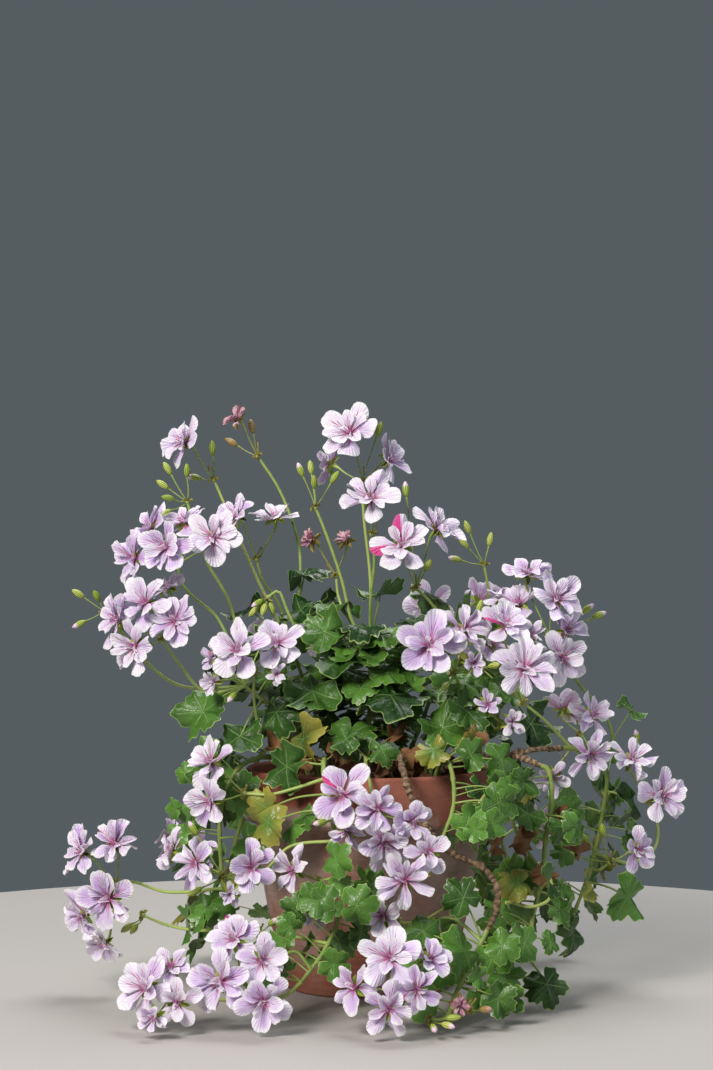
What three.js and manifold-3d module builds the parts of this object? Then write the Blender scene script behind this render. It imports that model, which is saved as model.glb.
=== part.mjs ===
// An ivy-leaved pelargonium with semi-double flowers, grown old and loose in a weathered terracotta pot.
// Millimetres, +Z up. The origin is the middle of the pot's base, on the surface that it stands on, and -Y is
// the front.

import * as THREE from 'three';
import Module from 'manifold-3d';
import { mergeVertices } from 'three/addons/utils/BufferGeometryUtils.js';

const wasm = await Module();
wasm.setup();

// Driving dimensions
const rimRadius = 100;
const potHeight = 175;
const baseRadius = 66;
const rimBand = 41;
const rimStep = 9;
const wall = 7.5;
const lipEdge = 3;
const potSides = 24;
const floorThickness = 12;
const waist = 70;
const drainRadius = 5;
const drainRing = 32;
const drainSides = 8;
const soilTop = 160;
const soilDip = 4;
const holeDepth = 16;
const holeSlack = 2;
const gap = 0.35;
const leastEdge = 0.15;
const stemRadius = 2.6;
const stemTaper = 0.7;
const woodRadius = 3.5;
const woodTaper = 0.8;
const lengthsPerPlace = 1.4;
const stalkRadius = 1.25;
const stalkFlare = 0.3;
const pedicelRadius = 0.8;
const calyxRadius = 2.2;
const petalThickness = 1.3;
const leafThickness = 1.5;
const petalsOuter = 5;
const petalsInner = 3;
const doubleBloom = 43;
const cuppedBloom = 35;
const backOfPlant = 100;
const straightStalk = 0.72;
const knobRadius = 3;
const budLength = 12;
const budWidth = 5.5;
const youngBud = 0.92;
const petioleRadius = 0.9;
const leastUnder = 0.3;
const leafReach = 90;
const potClearance = 6;

// Colours, roughness and metalness of the real materials
const terracotta = { color: 0x9a6f5c, roughness: 0.93, metalness: 0 };
const compost = { color: 0x33251c, roughness: 1, metalness: 0 };
const bark = { color: 0x8b6b4a, roughness: 0.85, metalness: 0 };
const leafGreen = { color: 0x4f8a3a, roughness: 0.45, metalness: 0 };
const petalLilac = { color: 0xeee2f3, roughness: 0.6, metalness: 0 };
const petalDry = { color: 0xc08a94, roughness: 0.8, metalness: 0 };

const vector = (point) => new THREE.Vector3(point[0], point[1], point[2]);

// A repeatable draw between 0 and 1 for the piece numbered `index`, with `salt` to tell its draws apart
function draw(index, salt) {
  const wave = Math.sin(index * 12.9898 + salt * 78.233) * 43758.5453;
  return wave - Math.floor(wave);
}

const spread = (index, salt, amount) => (2 * draw(index, salt) - 1) * amount;

// Solids and meshes
function solidOf(geometry) {
  const bare = geometry.index ? geometry : geometry.clone();
  bare.deleteAttribute('normal');
  bare.deleteAttribute('uv');
  const merged = mergeVertices(bare, 1e-4);
  const mesh = new wasm.Mesh({
    numProp: 3,
    vertProperties: new Float32Array(merged.attributes.position.array),
    triVerts: new Uint32Array(merged.index.array),
  });
  return new wasm.Manifold(mesh);
}

function solidFrom(points, faces) {
  const geometry = new THREE.BufferGeometry();
  const flat = points.flatMap((point) => [point.x, point.y, point.z]);
  geometry.setAttribute('position', new THREE.Float32BufferAttribute(flat, 3));
  geometry.setIndex(faces.flat());
  return solidOf(geometry);
}

// One body from several, without the slivers where they meet
function joined(solids) {
  return solids.reduce((whole, solid) => whole.add(solid)).simplify(leastEdge);
}

function meshOf(name, solid, look) {
  const { vertProperties, triVerts } = solid.getMesh();
  const geometry = new THREE.BufferGeometry();
  geometry.setAttribute('position', new THREE.Float32BufferAttribute(vertProperties, 3));
  geometry.setIndex(new THREE.Uint32BufferAttribute(triVerts, 1));
  geometry.computeVertexNormals();
  const mesh = new THREE.Mesh(geometry, new THREE.MeshStandardMaterial(look));
  mesh.name = name;
  return mesh;
}

// The curve that a stem follows through its places, and how many straight lengths it is made of
const stemSteps = (points) => Math.round(lengthsPerPlace * points.length);
const curveOf = (points) => new THREE.CatmullRomCurve3(points, false, 'centripetal');

// A closed round stem through `points`, `radius` thick at its start and `tipRadius` at its tip
function stem(points, radius, tipRadius, sides, steps) {
  const curve = curveOf(points);
  const frames = curve.computeFrenetFrames(steps, false);
  const corners = [];
  const faces = [];
  for (let step = 0; step <= steps; step += 1) {
    const centre = curve.getPointAt(step / steps);
    const reach = radius + (tipRadius - radius) * (step / steps);
    for (let side = 0; side < sides; side += 1) {
      const angle = (2 * Math.PI * side) / sides;
      corners.push(
        centre.clone()
          .addScaledVector(frames.normals[step], reach * Math.cos(angle))
          .addScaledVector(frames.binormals[step], reach * Math.sin(angle)),
      );
    }
  }
  for (let step = 0; step < steps; step += 1) {
    for (let side = 0; side < sides; side += 1) {
      const here = step * sides + side;
      const next = step * sides + ((side + 1) % sides);
      faces.push([here, next, next + sides], [here, next + sides, here + sides]);
    }
  }
  const last = steps * sides;
  for (let side = 1; side < sides - 1; side += 1) {
    faces.push([0, side + 1, side], [last, last + side, last + side + 1]);
  }
  return solidFrom(corners, faces);
}

// Two directions square to `axis`, the first of them as near level as it can be
function crossFrame(axis) {
  const level = new THREE.Vector3(0, 0, 1).cross(axis);
  if (level.lengthSq() < 1e-4) level.set(1, 0, 0);
  level.normalize();
  return { level, rise: new THREE.Vector3().crossVectors(axis, level) };
}

// Two directions square to `axis`, the first of them as near to `guide` as it can be, so that rings along a
// stalk don't twist
function frameBy(axis, guide) {
  const level = guide.clone().addScaledVector(axis, -guide.dot(axis));
  if (level.lengthSq() < 1e-3) return crossFrame(axis);
  level.normalize();
  return { level, rise: new THREE.Vector3().crossVectors(axis, level) };
}

// A ring of three corners round `centre`, square to the frame's axis
const ringOf = (centre, frame, radius, turn) => [0, 1, 2].map((corner) => {
  const angle = turn + (2 * Math.PI * corner) / 3;
  return centre.clone()
    .addScaledVector(frame.level, radius * Math.cos(angle))
    .addScaledVector(frame.rise, radius * Math.sin(angle));
});

// The faces between two rings of three corners, the second further along the axis
const sleeve = (low, high) => [0, 1, 2].flatMap((corner) => {
  const next = (corner + 1) % 3;
  return [[low + corner, low + next, high + next], [low + corner, high + next, high + corner]];
});

// The faces of one petal: a fan over its edge and the corners that it shares with its neighbours, from its
// middle if it is cupped and from its base if it isn't
function petalFaces(loop, middle, under) {
  const fan = middle === null
    ? loop.slice(1, -1).map((corner, place) => [loop[0], corner, loop[place + 2]])
    : loop.map((corner, place) => [middle, corner, loop[(place + 1) % loop.length]]);
  return under ? fan.map(([first, corner, next]) => [first, next, corner]) : fan;
}

// A flower on its stalk, as one closed body: a whorl of joined outer petals, cupped and waved, and for a
// larger flower a second whorl that stands up inside the first. A small flower's petals are flat.
function flower(hub, centre, axis, diameter, index) {
  const radius = diameter / 2;
  const frame = { ...crossFrame(axis), axis };
  const half = petalThickness / 2 / radius;
  const place = (angle, reach, height) => centre.clone()
    .addScaledVector(frame.level, radius * reach * Math.cos(angle))
    .addScaledVector(frame.rise, radius * reach * Math.sin(angle))
    .addScaledVector(axis, radius * height);
  const start = spread(index, 7, 0.5) + Math.PI / 2;
  const double = diameter >= doubleBloom && centre.y < backOfPlant;
  const cupped = diameter >= cuppedBloom && centre.y < backOfPlant;
  const points = [];
  const faces = [];
  const add = (...corners) => {
    points.push(...corners);
    return points.length - corners.length;
  };

  const toCentre = centre.clone().sub(hub).normalize();
  const foot = add(...ringOf(hub, frameBy(toCentre, frame.level), pedicelRadius, 0));
  const seat = add(...ringOf(place(0, 0, -half), frame, calyxRadius, 0));
  faces.push([foot, foot + 2, foot + 1]);
  if (toCentre.dot(axis) < straightStalk) {
    const neckFrame = frameBy(toCentre.clone().add(axis).normalize(), frame.level);
    const neck = add(...ringOf(centre.clone().addScaledVector(axis, -0.45 * radius), neckFrame, pedicelRadius, 0));
    faces.push(...sleeve(foot, neck), ...sleeve(neck, seat));
  } else {
    faces.push(...sleeve(foot, seat));
  }

  const share = Math.PI / petalsOuter;
  const throat = double
    ? add(...ringOf(place(0, 0, half), frame, 0.14 * radius, 0))
    : add(place(0, 0, half));
  const edges = [];
  for (let petal = 0; petal < petalsOuter; petal += 1) {
    const notch = start + 2 * share * petal - share;
    const angle = notch + share + spread(index, petal, 0.08);
    const long = 0.95 + spread(index, petal + 20, 0.09);
    const tip = 0.18 + spread(index, petal + 40, 0.13);
    const wave = spread(index, petal + 60, 0.1);
    edges.push({
      notch,
      edge: add(
        place(notch, 0.27, 0.04),
        place(angle - 0.66 * share, long, tip + wave),
        place(angle + 0.66 * share, 0.99 * long, tip - wave),
        ...(cupped ? [half, -half] : []).map((side) => place(angle, 0.72 * long, 0.55 * tip - 0.08 + side)),
      ),
    });
  }
  const nearest = (angle, first) => first + (((Math.round((3 * angle) / (2 * Math.PI)) % 3) + 3) % 3);
  const link = (first, angle) => (double || first === seat ? nearest(angle, first) : first);
  edges.forEach(({ edge, notch }, petal) => {
    const next = edges[(petal + 1) % petalsOuter];
    const middles = cupped ? [edge + 3, edge + 4] : [null, null];
    [[throat, middles[0], false], [seat, middles[1], true]].forEach(([first, middle, under]) => {
      const here = link(first, notch);
      const there = link(first, notch + 2 * share);
      const loop = [here, edge, edge + 1, edge + 2, next.edge];
      if (there !== here) loop.push(there);
      faces.push(...petalFaces(loop, middle, under));
    });
  });

  if (double) {
    const centreTop = add(place(0, 0, 0.06 + 2 * half));
    const inner = [];
    for (let petal = 0; petal < petalsInner; petal += 1) {
      const notch = (2 * Math.PI * petal) / petalsInner;
      const angle = notch + Math.PI / petalsInner + spread(index, petal + 70, 0.15);
      const long = 0.74 + spread(index, petal + 80, 0.07);
      const tip = 0.5 + spread(index, petal + 90, 0.12);
      const wave = spread(index, petal + 100, 0.1);
      inner.push(add(
        place(notch, 0.22, 0.17),
        place(angle - 0.55, long, tip + wave),
        place(angle + 0.55, 0.97 * long, tip - wave),
        place(angle, 0.6 * long, 0.5 * tip + half),
        place(angle, 0.6 * long, 0.5 * tip - half),
      ));
    }
    inner.forEach((edge, petal) => {
      const next = (petal + 1) % petalsInner;
      const rim = [edge, edge + 1, edge + 2, inner[next]];
      faces.push(...petalFaces([centreTop, ...rim], edge + 3, false));
      faces.push(...petalFaces([throat + petal, ...rim, throat + next], edge + 4, true));
    });
  }
  return solidFrom(points, faces);
}

// A bud on its stalk from the hub, as one closed body
function bud(hub, tip, length, width) {
  const axis = tip.clone().sub(hub).normalize();
  const frame = crossFrame(axis);
  const at = (back) => tip.clone().addScaledVector(axis, -back);
  const points = [
    ...ringOf(hub, frame, pedicelRadius, 0), ...ringOf(at(0.45 * length), frame, pedicelRadius, 0),
    ...ringOf(at(0), frame, width / 2, 0), at(-0.55 * length),
  ];
  const faces = [[0, 2, 1], ...sleeve(0, 3), ...sleeve(3, 6), [6, 7, 9], [7, 8, 9], [8, 6, 9]];
  return solidFrom(points, faces);
}

// The small swelling where the stalks of a head meet, one of its corners over the end of the stalk that carries it
function knob(hub, toStalk) {
  const frame = crossFrame(toStalk);
  const ball = new THREE.OctahedronGeometry(knobRadius);
  ball.applyMatrix4(new THREE.Matrix4().makeBasis(frame.level, frame.rise, toStalk));
  ball.translate(hub.x, hub.y, hub.z);
  return solidOf(ball);
}

// Half of an ivy leaf's outline from its base to its tip, as [across, along] for a leaf one unit wide whose
// stalk joins at 0, 0
const leafHalf = [[0.34, -0.36], [0.4, -0.08], [0.53, 0.12], [0.25, 0.3]];
const otherHalf = leafHalf.map(([across, along]) => [-across, along]).reverse();
const leafOutline = [[0, -0.16], ...leafHalf, [0, 0.58], ...otherHalf];

// A leaf on its stalk from the nearest of `stems`, as one closed body, its blade facing outward, up and a little
// to the front
function leaf(place, stems, index) {
  const [x, y, z, width] = place;
  const centre = new THREE.Vector3(x, y, z);
  const root = nearestOn(stems, centre);
  const facing = new THREE.Vector3(x / leafReach, y / leafReach - 0.5, 0.6 + spread(index, 2, 0.25)).normalize();
  facing.applyAxisAngle(new THREE.Vector3(0, 0, 1), spread(index, 1, 0.45)).normalize();
  const stalk = centre.clone().sub(root).normalize();
  const under = facing.dot(stalk);
  if (under < leastUnder) facing.addScaledVector(stalk, leastUnder - under).normalize();
  const along = centre.clone().sub(root).add(new THREE.Vector3(0, 0, -0.35 * width));
  along.addScaledVector(facing, -along.dot(facing)).normalize();
  const across = new THREE.Vector3().crossVectors(along, facing);
  const at = (side, up, height) => centre.clone()
    .addScaledVector(across, side * width)
    .addScaledVector(along, up * width)
    .addScaledVector(facing, height * width);
  const half = leafThickness / 2 / width;
  const points = [
    ...ringOf(root, frameBy(stalk, across), petioleRadius, Math.PI / 6),
    ...ringOf(at(0, 0, -half), { level: across, rise: along }, petioleRadius, Math.PI / 6),
    at(0, 0, half),
  ];
  const rim = points.length;
  leafOutline.forEach(([side, up], corner) => {
    points.push(at(side, up, 0.1 * Math.hypot(side, up) + spread(index, corner + 5, 0.05)));
  });
  const faces = [[0, 2, 1], ...sleeve(0, 3)];
  const count = leafOutline.length;
  const nearRing = leafOutline.map(([side, up]) => {
    const share = (Math.atan2(up, side) - Math.PI / 6) / (2 * Math.PI);
    return 3 + (((Math.round(3 * share) % 3) + 3) % 3);
  });
  leafOutline.forEach((_, corner) => {
    const next = (corner + 1) % count;
    faces.push([6, rim + corner, rim + next], [nearRing[corner], rim + next, rim + corner]);
    if (nearRing[next] !== nearRing[corner]) faces.push([nearRing[corner], nearRing[next], rim + next]);
  });
  return solidFrom(points, faces);
}

// The place on any of `stems` that lies nearest to `point`, outside the pot and clear of the stem's own start
function nearestOn(stems, point) {
  let best = null;
  stems.forEach((points) => {
    const joints = curveOf(points).getSpacedPoints(stemSteps(points));
    joints.slice(1).forEach((joint, place) => {
      for (let share = place === 0 ? 0.5 : 0; share < 1; share += 0.25) {
        const spot = joints[place].clone().lerp(joint, share);
        const inPot = spot.z < potHeight + potClearance && Math.hypot(spot.x, spot.y) < rimRadius;
        if (!inPot && (!best || spot.distanceTo(point) < best.distanceTo(point))) best = spot;
      }
    });
  });
  return best;
}

// Heads of bloom: `hub` is where a head's flower stalks meet and `stalk` the way from there back to `shoot`.
// A bloom is [x, y, z, diameter].
const heads = [
  {
    name: 'head_far_back', shoot: 'shoot_back_left', hub: [-128, 75, 407],
    stalk: [[-114, 72, 375], [-87, 55, 316]],
    blooms: [[-150, 52, 437, 48]],
    buds: [[-129, 70, 433], [-144, 72, 409]],
  },
  {
    name: 'head_withered_back', shoot: 'shoot_back_left', dry: true, hub: [-91, 70, 426],
    stalk: [[-73, 66, 398], [-57, 56, 353], [-56, 46, 316]],
    blooms: [[-107, 58, 456, 32]],
    buds: [[-96, 72, 451], [-113, 74, 438]],
  },
  {
    name: 'head_upper_left', shoot: 'shoot_upper_left', hub: [-153, 10, 338],
    stalk: [[-152, 12, 325], [-142, 10, 312], [-121, 4, 294]],
    blooms: [
      [-185, -12, 342, 50], [-174, 2, 366, 46], [-158, -40, 351, 46], [-148, 8, 370, 44], [-123, -24, 359, 48],
    ],
    buds: [],
  },
  {
    name: 'head_left_back', shoot: 'shoot_back_left', hub: [-91, 40, 341],
    stalk: [[-86, 38, 324], [-72, 38, 303]],
    blooms: [[-106, 20, 375, 44], [-76, 34, 374, 42]],
    buds: [],
  },
  {
    name: 'head_left', shoot: 'shoot_upper_left', hub: [-164, -14, 277],
    stalk: [[-150, -12, 257], [-130, -16, 236]],
    blooms: [
      [-174, -42, 306, 52], [-197, -32, 294, 46], [-151, -48, 293, 48], [-181, -56, 274, 50], [-159, -14, 317, 38],
    ],
    buds: [],
  },
  {
    name: 'head_left_near', shoot: 'shoot_upper_left', hub: [-90, -40, 252],
    stalk: [[-90, -38, 231], [-84, -30, 204]],
    blooms: [
      [-100, -72, 271, 50], [-71, -60, 276, 44], [-120, -54, 267, 30], [-119, -60, 247, 28], [-71, -70, 253, 26],
    ],
    buds: [[-106, -60, 235]],
  },
  {
    name: 'head_top', shoot: 'shoot_top', hub: [-5, 14, 404],
    stalk: [[-3, 14, 373], [2, 10, 325]],
    blooms: [[-14, -14, 442, 50], [16, 4, 421, 42], [-30, 28, 418, 38]],
    buds: [[9, 12, 446]],
  },
  {
    name: 'head_single', shoot: 'shoot_top', hub: [3, -22, 362],
    stalk: [[5, -20, 341], [2, -16, 309]],
    blooms: [[2, -34, 389, 48]],
    buds: [],
  },
  {
    name: 'head_middle', shoot: 'shoot_top', hub: [38, -26, 319],
    stalk: [[49, -24, 308], [58, -20, 292], [42, -10, 262]],
    blooms: [[26, -52, 352, 48], [54, -26, 365, 46]],
    buds: [[30, -20, 397], [47, -42, 337]],
  },
  {
    name: 'head_withered_middle', shoot: 'shoot_top', dry: true, hub: [-26, 24, 328],
    stalk: [[-23, 22, 308]],
    blooms: [[-44, 12, 356, 26], [-18, 10, 355, 26]],
    buds: [],
  },
  {
    name: 'head_right_near', shoot: 'shoot_upper_right', hub: [67, -44, 252],
    stalk: [[74, -42, 240], [78, -38, 224]],
    blooms: [[47, -78, 275, 54], [74, -68, 287, 48], [80, -84, 262, 26], [95, -54, 276, 38]],
    buds: [[87, -52, 304], [60, -60, 243], [97, -74, 260]],
  },
  {
    name: 'head_right_low', shoot: 'shoot_right', hub: [121, -64, 230],
    stalk: [[137, -58, 217]],
    blooms: [[119, -98, 258, 56], [106, -72, 290, 44], [125, -68, 281, 37]],
    buds: [],
  },
  {
    name: 'head_right_upper', shoot: 'shoot_right', hub: [144, -24, 281],
    stalk: [[156, -22, 262], [170, -10, 240], [188, 0, 220], [196, -4, 200]],
    blooms: [
      [147, -50, 310, 46], [126, -28, 329, 44], [150, -55, 266, 44], [155, -38, 285, 40], [110, -4, 309, 42],
      [120, -24, 305, 40],
    ],
    buds: [[174, -24, 302], [184, -16, 297]],
  },
  {
    name: 'head_right_small', shoot: 'shoot_upper_right', hub: [104, -54, 213],
    stalk: [[100, -44, 208]],
    blooms: [[92, -72, 229, 28], [110, -78, 217, 28]],
    buds: [],
  },
  {
    name: 'head_right_middle', shoot: 'shoot_right', hub: [170, -14, 202],
    stalk: [],
    blooms: [[158, 10, 219, 42], [176, -34, 218, 42], [172, -62, 190, 46], [144, -52, 172, 34]],
    buds: [],
  },
  {
    name: 'head_far_right', shoot: 'shoot_right', hub: [226, 4, 146],
    stalk: [[234, 6, 124], [230, 2, 108], [212, -2, 98]],
    blooms: [[208, -26, 182, 46], [231, -36, 155, 46]],
    buds: [[216, 2, 198]],
  },
  {
    name: 'head_right_lowest', shoot: 'shoot_right', hub: [193, -14, 100],
    stalk: [[184, -12, 93]],
    blooms: [[211, -44, 114, 38]],
    buds: [[172, -26, 120], [186, -30, 127], [160, -28, 108]],
  },
  {
    name: 'head_rim_left', shoot: 'shoot_front_left', hub: [-95, -96, 163],
    stalk: [[-75, -102, 163], [-59, -104, 167]],
    blooms: [[-119, -108, 188, 44], [-118, -124, 160, 42]],
    buds: [],
  },
  {
    name: 'head_far_left', shoot: 'shoot_left_low', hub: [-200, -24, 84],
    stalk: [[-186, -28, 86], [-160, -40, 80]],
    blooms: [
      [-224, -38, 110, 48], [-198, -52, 118, 48], [-201, -66, 78, 52], [-223, -40, 62, 46], [-206, -50, 42, 38],
    ],
    buds: [],
  },
  {
    name: 'head_low_left', shoot: 'shoot_front_left', hub: [-111, -114, 102],
    stalk: [[-98, -112, 99], [-79, -110, 106], [-60, -110, 124]],
    blooms: [[-128, -138, 115, 46], [-148, -114, 122, 34], [-88, -138, 112, 42], [-104, -138, 93, 26]],
    buds: [[-133, -112, 138], [-131, -122, 92]],
  },
  {
    name: 'head_pot_left', shoot: 'shoot_front_left', hub: [-36, -110, 98],
    stalk: [],
    blooms: [[-56, -126, 108, 42], [-40, -126, 76, 26]],
    buds: [],
  },
  {
    name: 'head_stripe', shoot: 'shoot_front_left', hub: [-82, -118, 60],
    stalk: [[-63, -118, 58]],
    blooms: [[-100, -134, 64, 32]],
    buds: [[-72, -130, 70], [-90, -126, 48], [-66, -128, 52]],
  },
  {
    name: 'head_rim_front', shoot: 'shoot_front', hub: [1, -114, 152],
    stalk: [[2, -112, 166]],
    blooms: [
      [-19, -136, 166, 50], [6, -150, 157, 42], [11, -142, 132, 46], [31, -143, 147, 38], [-16, -128, 138, 36],
    ],
    buds: [[-36, -132, 145]],
  },
  {
    name: 'head_pot_front', shoot: 'shoot_front_right', hub: [43, -134, 108],
    stalk: [],
    blooms: [[27, -160, 106, 54], [44, -150, 124, 36]],
    buds: [],
  },
  {
    name: 'head_ragged', shoot: 'shoot_front_low', hub: [24, -124, 68],
    stalk: [[38, -130, 70], [62, -138, 74]],
    blooms: [[11, -142, 76, 34]],
    buds: [],
  },
  {
    name: 'head_surface_front', shoot: 'shoot_front_low', hub: [26, -196, 31],
    stalk: [[41, -190, 41], [59, -176, 58]],
    blooms: [
      [15, -212, 56, 48], [-10, -204, 34, 42], [34, -224, 36, 40], [14, -232, 24, 42], [43, -201, 53, 34],
    ],
    buds: [],
  },
  {
    name: 'head_withered_front', shoot: 'shoot_front_low', dry: true, hub: [73, -192, 16],
    stalk: [],
    blooms: [[66, -206, 22, 24]],
    buds: [[84, -204, 18]],
  },
  {
    name: 'head_surface_left', shoot: 'shoot_front_left', hub: [-146, -178, 22],
    stalk: [[-124, -174, 20], [-91, -166, 18], [-62, -160, 20]],
    blooms: [[-161, -196, 32, 48], [-144, -190, 46, 34], [-138, -208, 24, 36], [-154, -222, 16, 28]],
    buds: [],
  },
  {
    name: 'head_surface_middle', shoot: 'shoot_front_left', hub: [-95, -174, 39],
    stalk: [[-74, -168, 44], [-55, -156, 52]],
    blooms: [[-107, -202, 38, 50], [-98, -182, 64, 42], [-78, -196, 52, 40], [-76, -212, 26, 44]],
    buds: [],
  },
  {
    name: 'head_back_right', shoot: 'shoot_upper_back', hub: [70, 104, 286],
    stalk: [[66, 90, 270]],
    blooms: [[94, 126, 304, 46], [54, 134, 300, 46], [84, 138, 272, 42]],
    buds: [],
  },
  {
    name: 'head_back_left', shoot: 'shoot_back_left', hub: [-60, 108, 262],
    stalk: [[-60, 84, 254]],
    blooms: [[-84, 130, 274, 46], [-46, 136, 276, 44]],
    buds: [],
  },
  {
    name: 'head_back_middle', shoot: 'shoot_back', hub: [-6, 148, 150],
    stalk: [[-8, 138, 140]],
    blooms: [[-26, 172, 164, 46], [16, 174, 156, 44]],
    buds: [],
  },
  {
    name: 'head_back_low_right', shoot: 'shoot_back_right', hub: [136, 126, 118],
    stalk: [],
    blooms: [[160, 134, 132, 46], [146, 158, 112, 44]],
    buds: [],
  },
  {
    name: 'head_back_low_left', shoot: 'shoot_back_left_low', hub: [-138, 112, 92],
    stalk: [],
    blooms: [[-164, 122, 106, 46], [-146, 142, 88, 42]],
    buds: [],
  },
];

// Green shoots: each stem is a list of places, the first of them in the soil or at the end of a woody stem.
// An umbel is a hub, the way back to the shoot and its buds; a leaf is [x, y, z, width].
const shoots = [
  {
    name: 'shoot_back_left',
    stems: [[[-28, 34, 148], [-28, 34, 168], [-45, 40, 220], [-62, 44, 268]]],
    umbels: [],
    leaves: [
      [-52, 36, 328, 36], [-98, 44, 300, 36], [-40, 62, 300, 38], [-84, 78, 232, 38], [-110, 58, 262, 36],
    ],
  },
  {
    name: 'shoot_upper_left',
    stems: [[[-40, -8, 148], [-40, -8, 168], [-60, -12, 208], [-98, -14, 240]]],
    umbels: [
      {
        hub: [-147, 30, 388], stalk: [[-143, 30, 372], [-132, 28, 341], [-112, 22, 305]],
        buds: [[-163, 28, 415], [-147, 22, 413], [-167, 30, 402], [-162, 20, 391], [-165, 26, 379]],
      },
      {
        hub: [-211, -8, 300], stalk: [[-195, -6, 280], [-175, 0, 256], [-151, 0, 240]],
        buds: [[-231, -14, 314], [-230, -16, 290], [-216, -16, 312]],
      },
    ],
    leaves: [
      [-130, -40, 222, 44], [-100, -58, 204, 40], [-126, 2, 262, 36], [-118, 22, 228, 40], [-84, -10, 276, 36],
      [-72, -44, 222, 38],
    ],
  },
  {
    name: 'shoot_top',
    stems: [[[0, 4, 148], [0, 4, 168], [1, 2, 215], [2, 0, 266]]],
    umbels: [
      {
        hub: [-42, -6, 383], stalk: [[-34, -6, 363], [-21, -6, 325], [-13, -6, 293]],
        buds: [[-54, -6, 413], [-46, 2, 415], [-43, -14, 403], [-27, -4, 407]],
      },
      {
        hub: [-80, -8, 311], stalk: [[-72, -6, 316], [-64, -6, 299], [-52, -4, 279]],
        buds: [[-88, -12, 307], [-83, -14, 302], [-77, -8, 303], [-91, -6, 300]],
      },
    ],
    leaves: [
      [-54, 8, 300, 36], [-24, 10, 304, 40], [10, 26, 312, 38], [17, -48, 235, 54], [-14, -60, 206, 42],
      [58, -52, 210, 42], [-22, -32, 262, 44], [40, 10, 292, 42], [32, -20, 264, 42], [-44, -40, 238, 44],
      [-50, -62, 202, 40], [-64, 4, 268, 38], [6, 44, 280, 42], [-4, -30, 288, 38],
      [-34, -20, 284, 38], [64, -20, 250, 38],
    ],
  },
  {
    name: 'shoot_upper_right',
    stems: [[[46, 0, 148], [46, 0, 168], [60, -14, 200], [92, -26, 222], [118, -22, 236]]],
    umbels: [],
    leaves: [
      [106, -12, 250, 40], [128, -36, 212, 40], [130, 10, 258, 36], [88, 12, 256, 38], [78, -50, 222, 36],
    ],
  },
  {
    name: 'shoot_left_low',
    stems: [[
      [-58, -30, 148], [-58, -30, 168], [-76, -42, 186], [-100, -54, 180], [-114, -64, 150], [-114, -68, 100],
      [-108, -70, 54],
    ]],
    umbels: [
      {
        hub: [-178, -30, 60], stalk: [[-160, -38, 54], [-132, -56, 52]],
        buds: [[-190, -40, 52], [-186, -22, 48]],
      },
    ],
    leaves: [
      [-110, -86, 76, 28], [-136, -50, 150, 36], [-144, -30, 112, 34], [-124, -84, 172, 32], [-134, -34, 40, 34],
    ],
  },
  {
    name: 'shoot_front_left',
    stems: [[
      [-32, -56, 148], [-32, -56, 168], [-34, -84, 188], [-34, -108, 180], [-28, -116, 150], [-22, -120, 110],
      [-22, -130, 76], [-34, -146, 50], [-50, -158, 30],
    ]],
    umbels: [],
    leaves: [
      [-62, -98, 184, 38], [-76, -108, 142, 32], [-2, -116, 98, 28], [-6, -128, 62, 24], [-64, -142, 34, 24],
    ],
  },
  {
    name: 'shoot_front',
    stems: [[[0, -54, 148], [0, -54, 168], [-2, -84, 189], [-2, -102, 184]]],
    umbels: [],
    leaves: [[-17, -84, 203, 28], [10, -96, 197, 24]],
  },
  {
    name: 'shoot_front_right',
    stems: [[[52, -58, 148], [52, -58, 168], [58, -84, 188], [63, -102, 182], [64, -122, 156], [54, -134, 130]]],
    umbels: [],
    leaves: [[86, -100, 166, 28], [80, -118, 144, 26], [50, -98, 196, 26], [78, -92, 192, 26]],
  },
  {
    name: 'shoot_front_low', from: ['wood_front', 0],
    stems: [[[76, -158, 44], [62, -180, 22], [58, -192, 12]]],
    umbels: [
      { hub: [44, -212, 12], stalk: [[52, -204, 11]], buds: [[56, -222, 10], [46, -226, 9], [60, -214, 14]] },
    ],
    leaves: [[70, -178, 56, 38], [40, -150, 66, 30], [70, -156, 92, 30], [94, -182, 22, 26]],
  },
  {
    name: 'shoot_right', from: ['wood_right', 0],
    stems: [[[176, -33, 188], [190, -16, 172], [188, -8, 140], [178, -12, 96], [164, -20, 60]]],
    umbels: [],
    leaves: [
      [208, -24, 150, 36], [206, -26, 74, 38], [172, -42, 86, 26], [212, 4, 220, 24],
      [200, 22, 150, 38], [186, 22, 100, 38], [160, -52, 48, 34],
    ],
  },
  {
    name: 'shoot_right_low', from: ['wood_right', 1],
    stems: [[
      [142, -75, 156], [137, -74, 124], [135, -78, 101], [130, -86, 83], [124, -100, 59],
      [124, -114, 36],
    ]],
    umbels: [],
    leaves: [
      [122, -90, 147, 30], [114, -104, 96, 30], [118, -100, 172, 26], [156, -74, 74, 34],
      [152, -84, 136, 28], [106, -124, 50, 30], [134, -124, 22, 32],
    ],
  },
  {
    name: 'shoot_upper_back',
    stems: [[[30, 40, 148], [30, 40, 168], [48, 52, 216], [64, 60, 262]]],
    umbels: [
      {
        hub: [97, 70, 336], stalk: [[100, 66, 307], [88, 62, 280]],
        buds: [[83, 70, 367], [80, 64, 354], [102, 72, 357], [73, 68, 341]],
      },
    ],
    leaves: [
      [84, 40, 290, 38], [56, 66, 308, 38], [104, 66, 258, 38], [34, 88, 262, 38], [78, 86, 236, 36],
    ],
  },
  {
    name: 'shoot_back',
    stems: [[
      [-6, 56, 148], [-6, 56, 168], [-6, 86, 188], [-8, 108, 178], [-10, 122, 130], [-14, 148, 70],
      [-20, 176, 24],
    ]],
    umbels: [],
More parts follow.
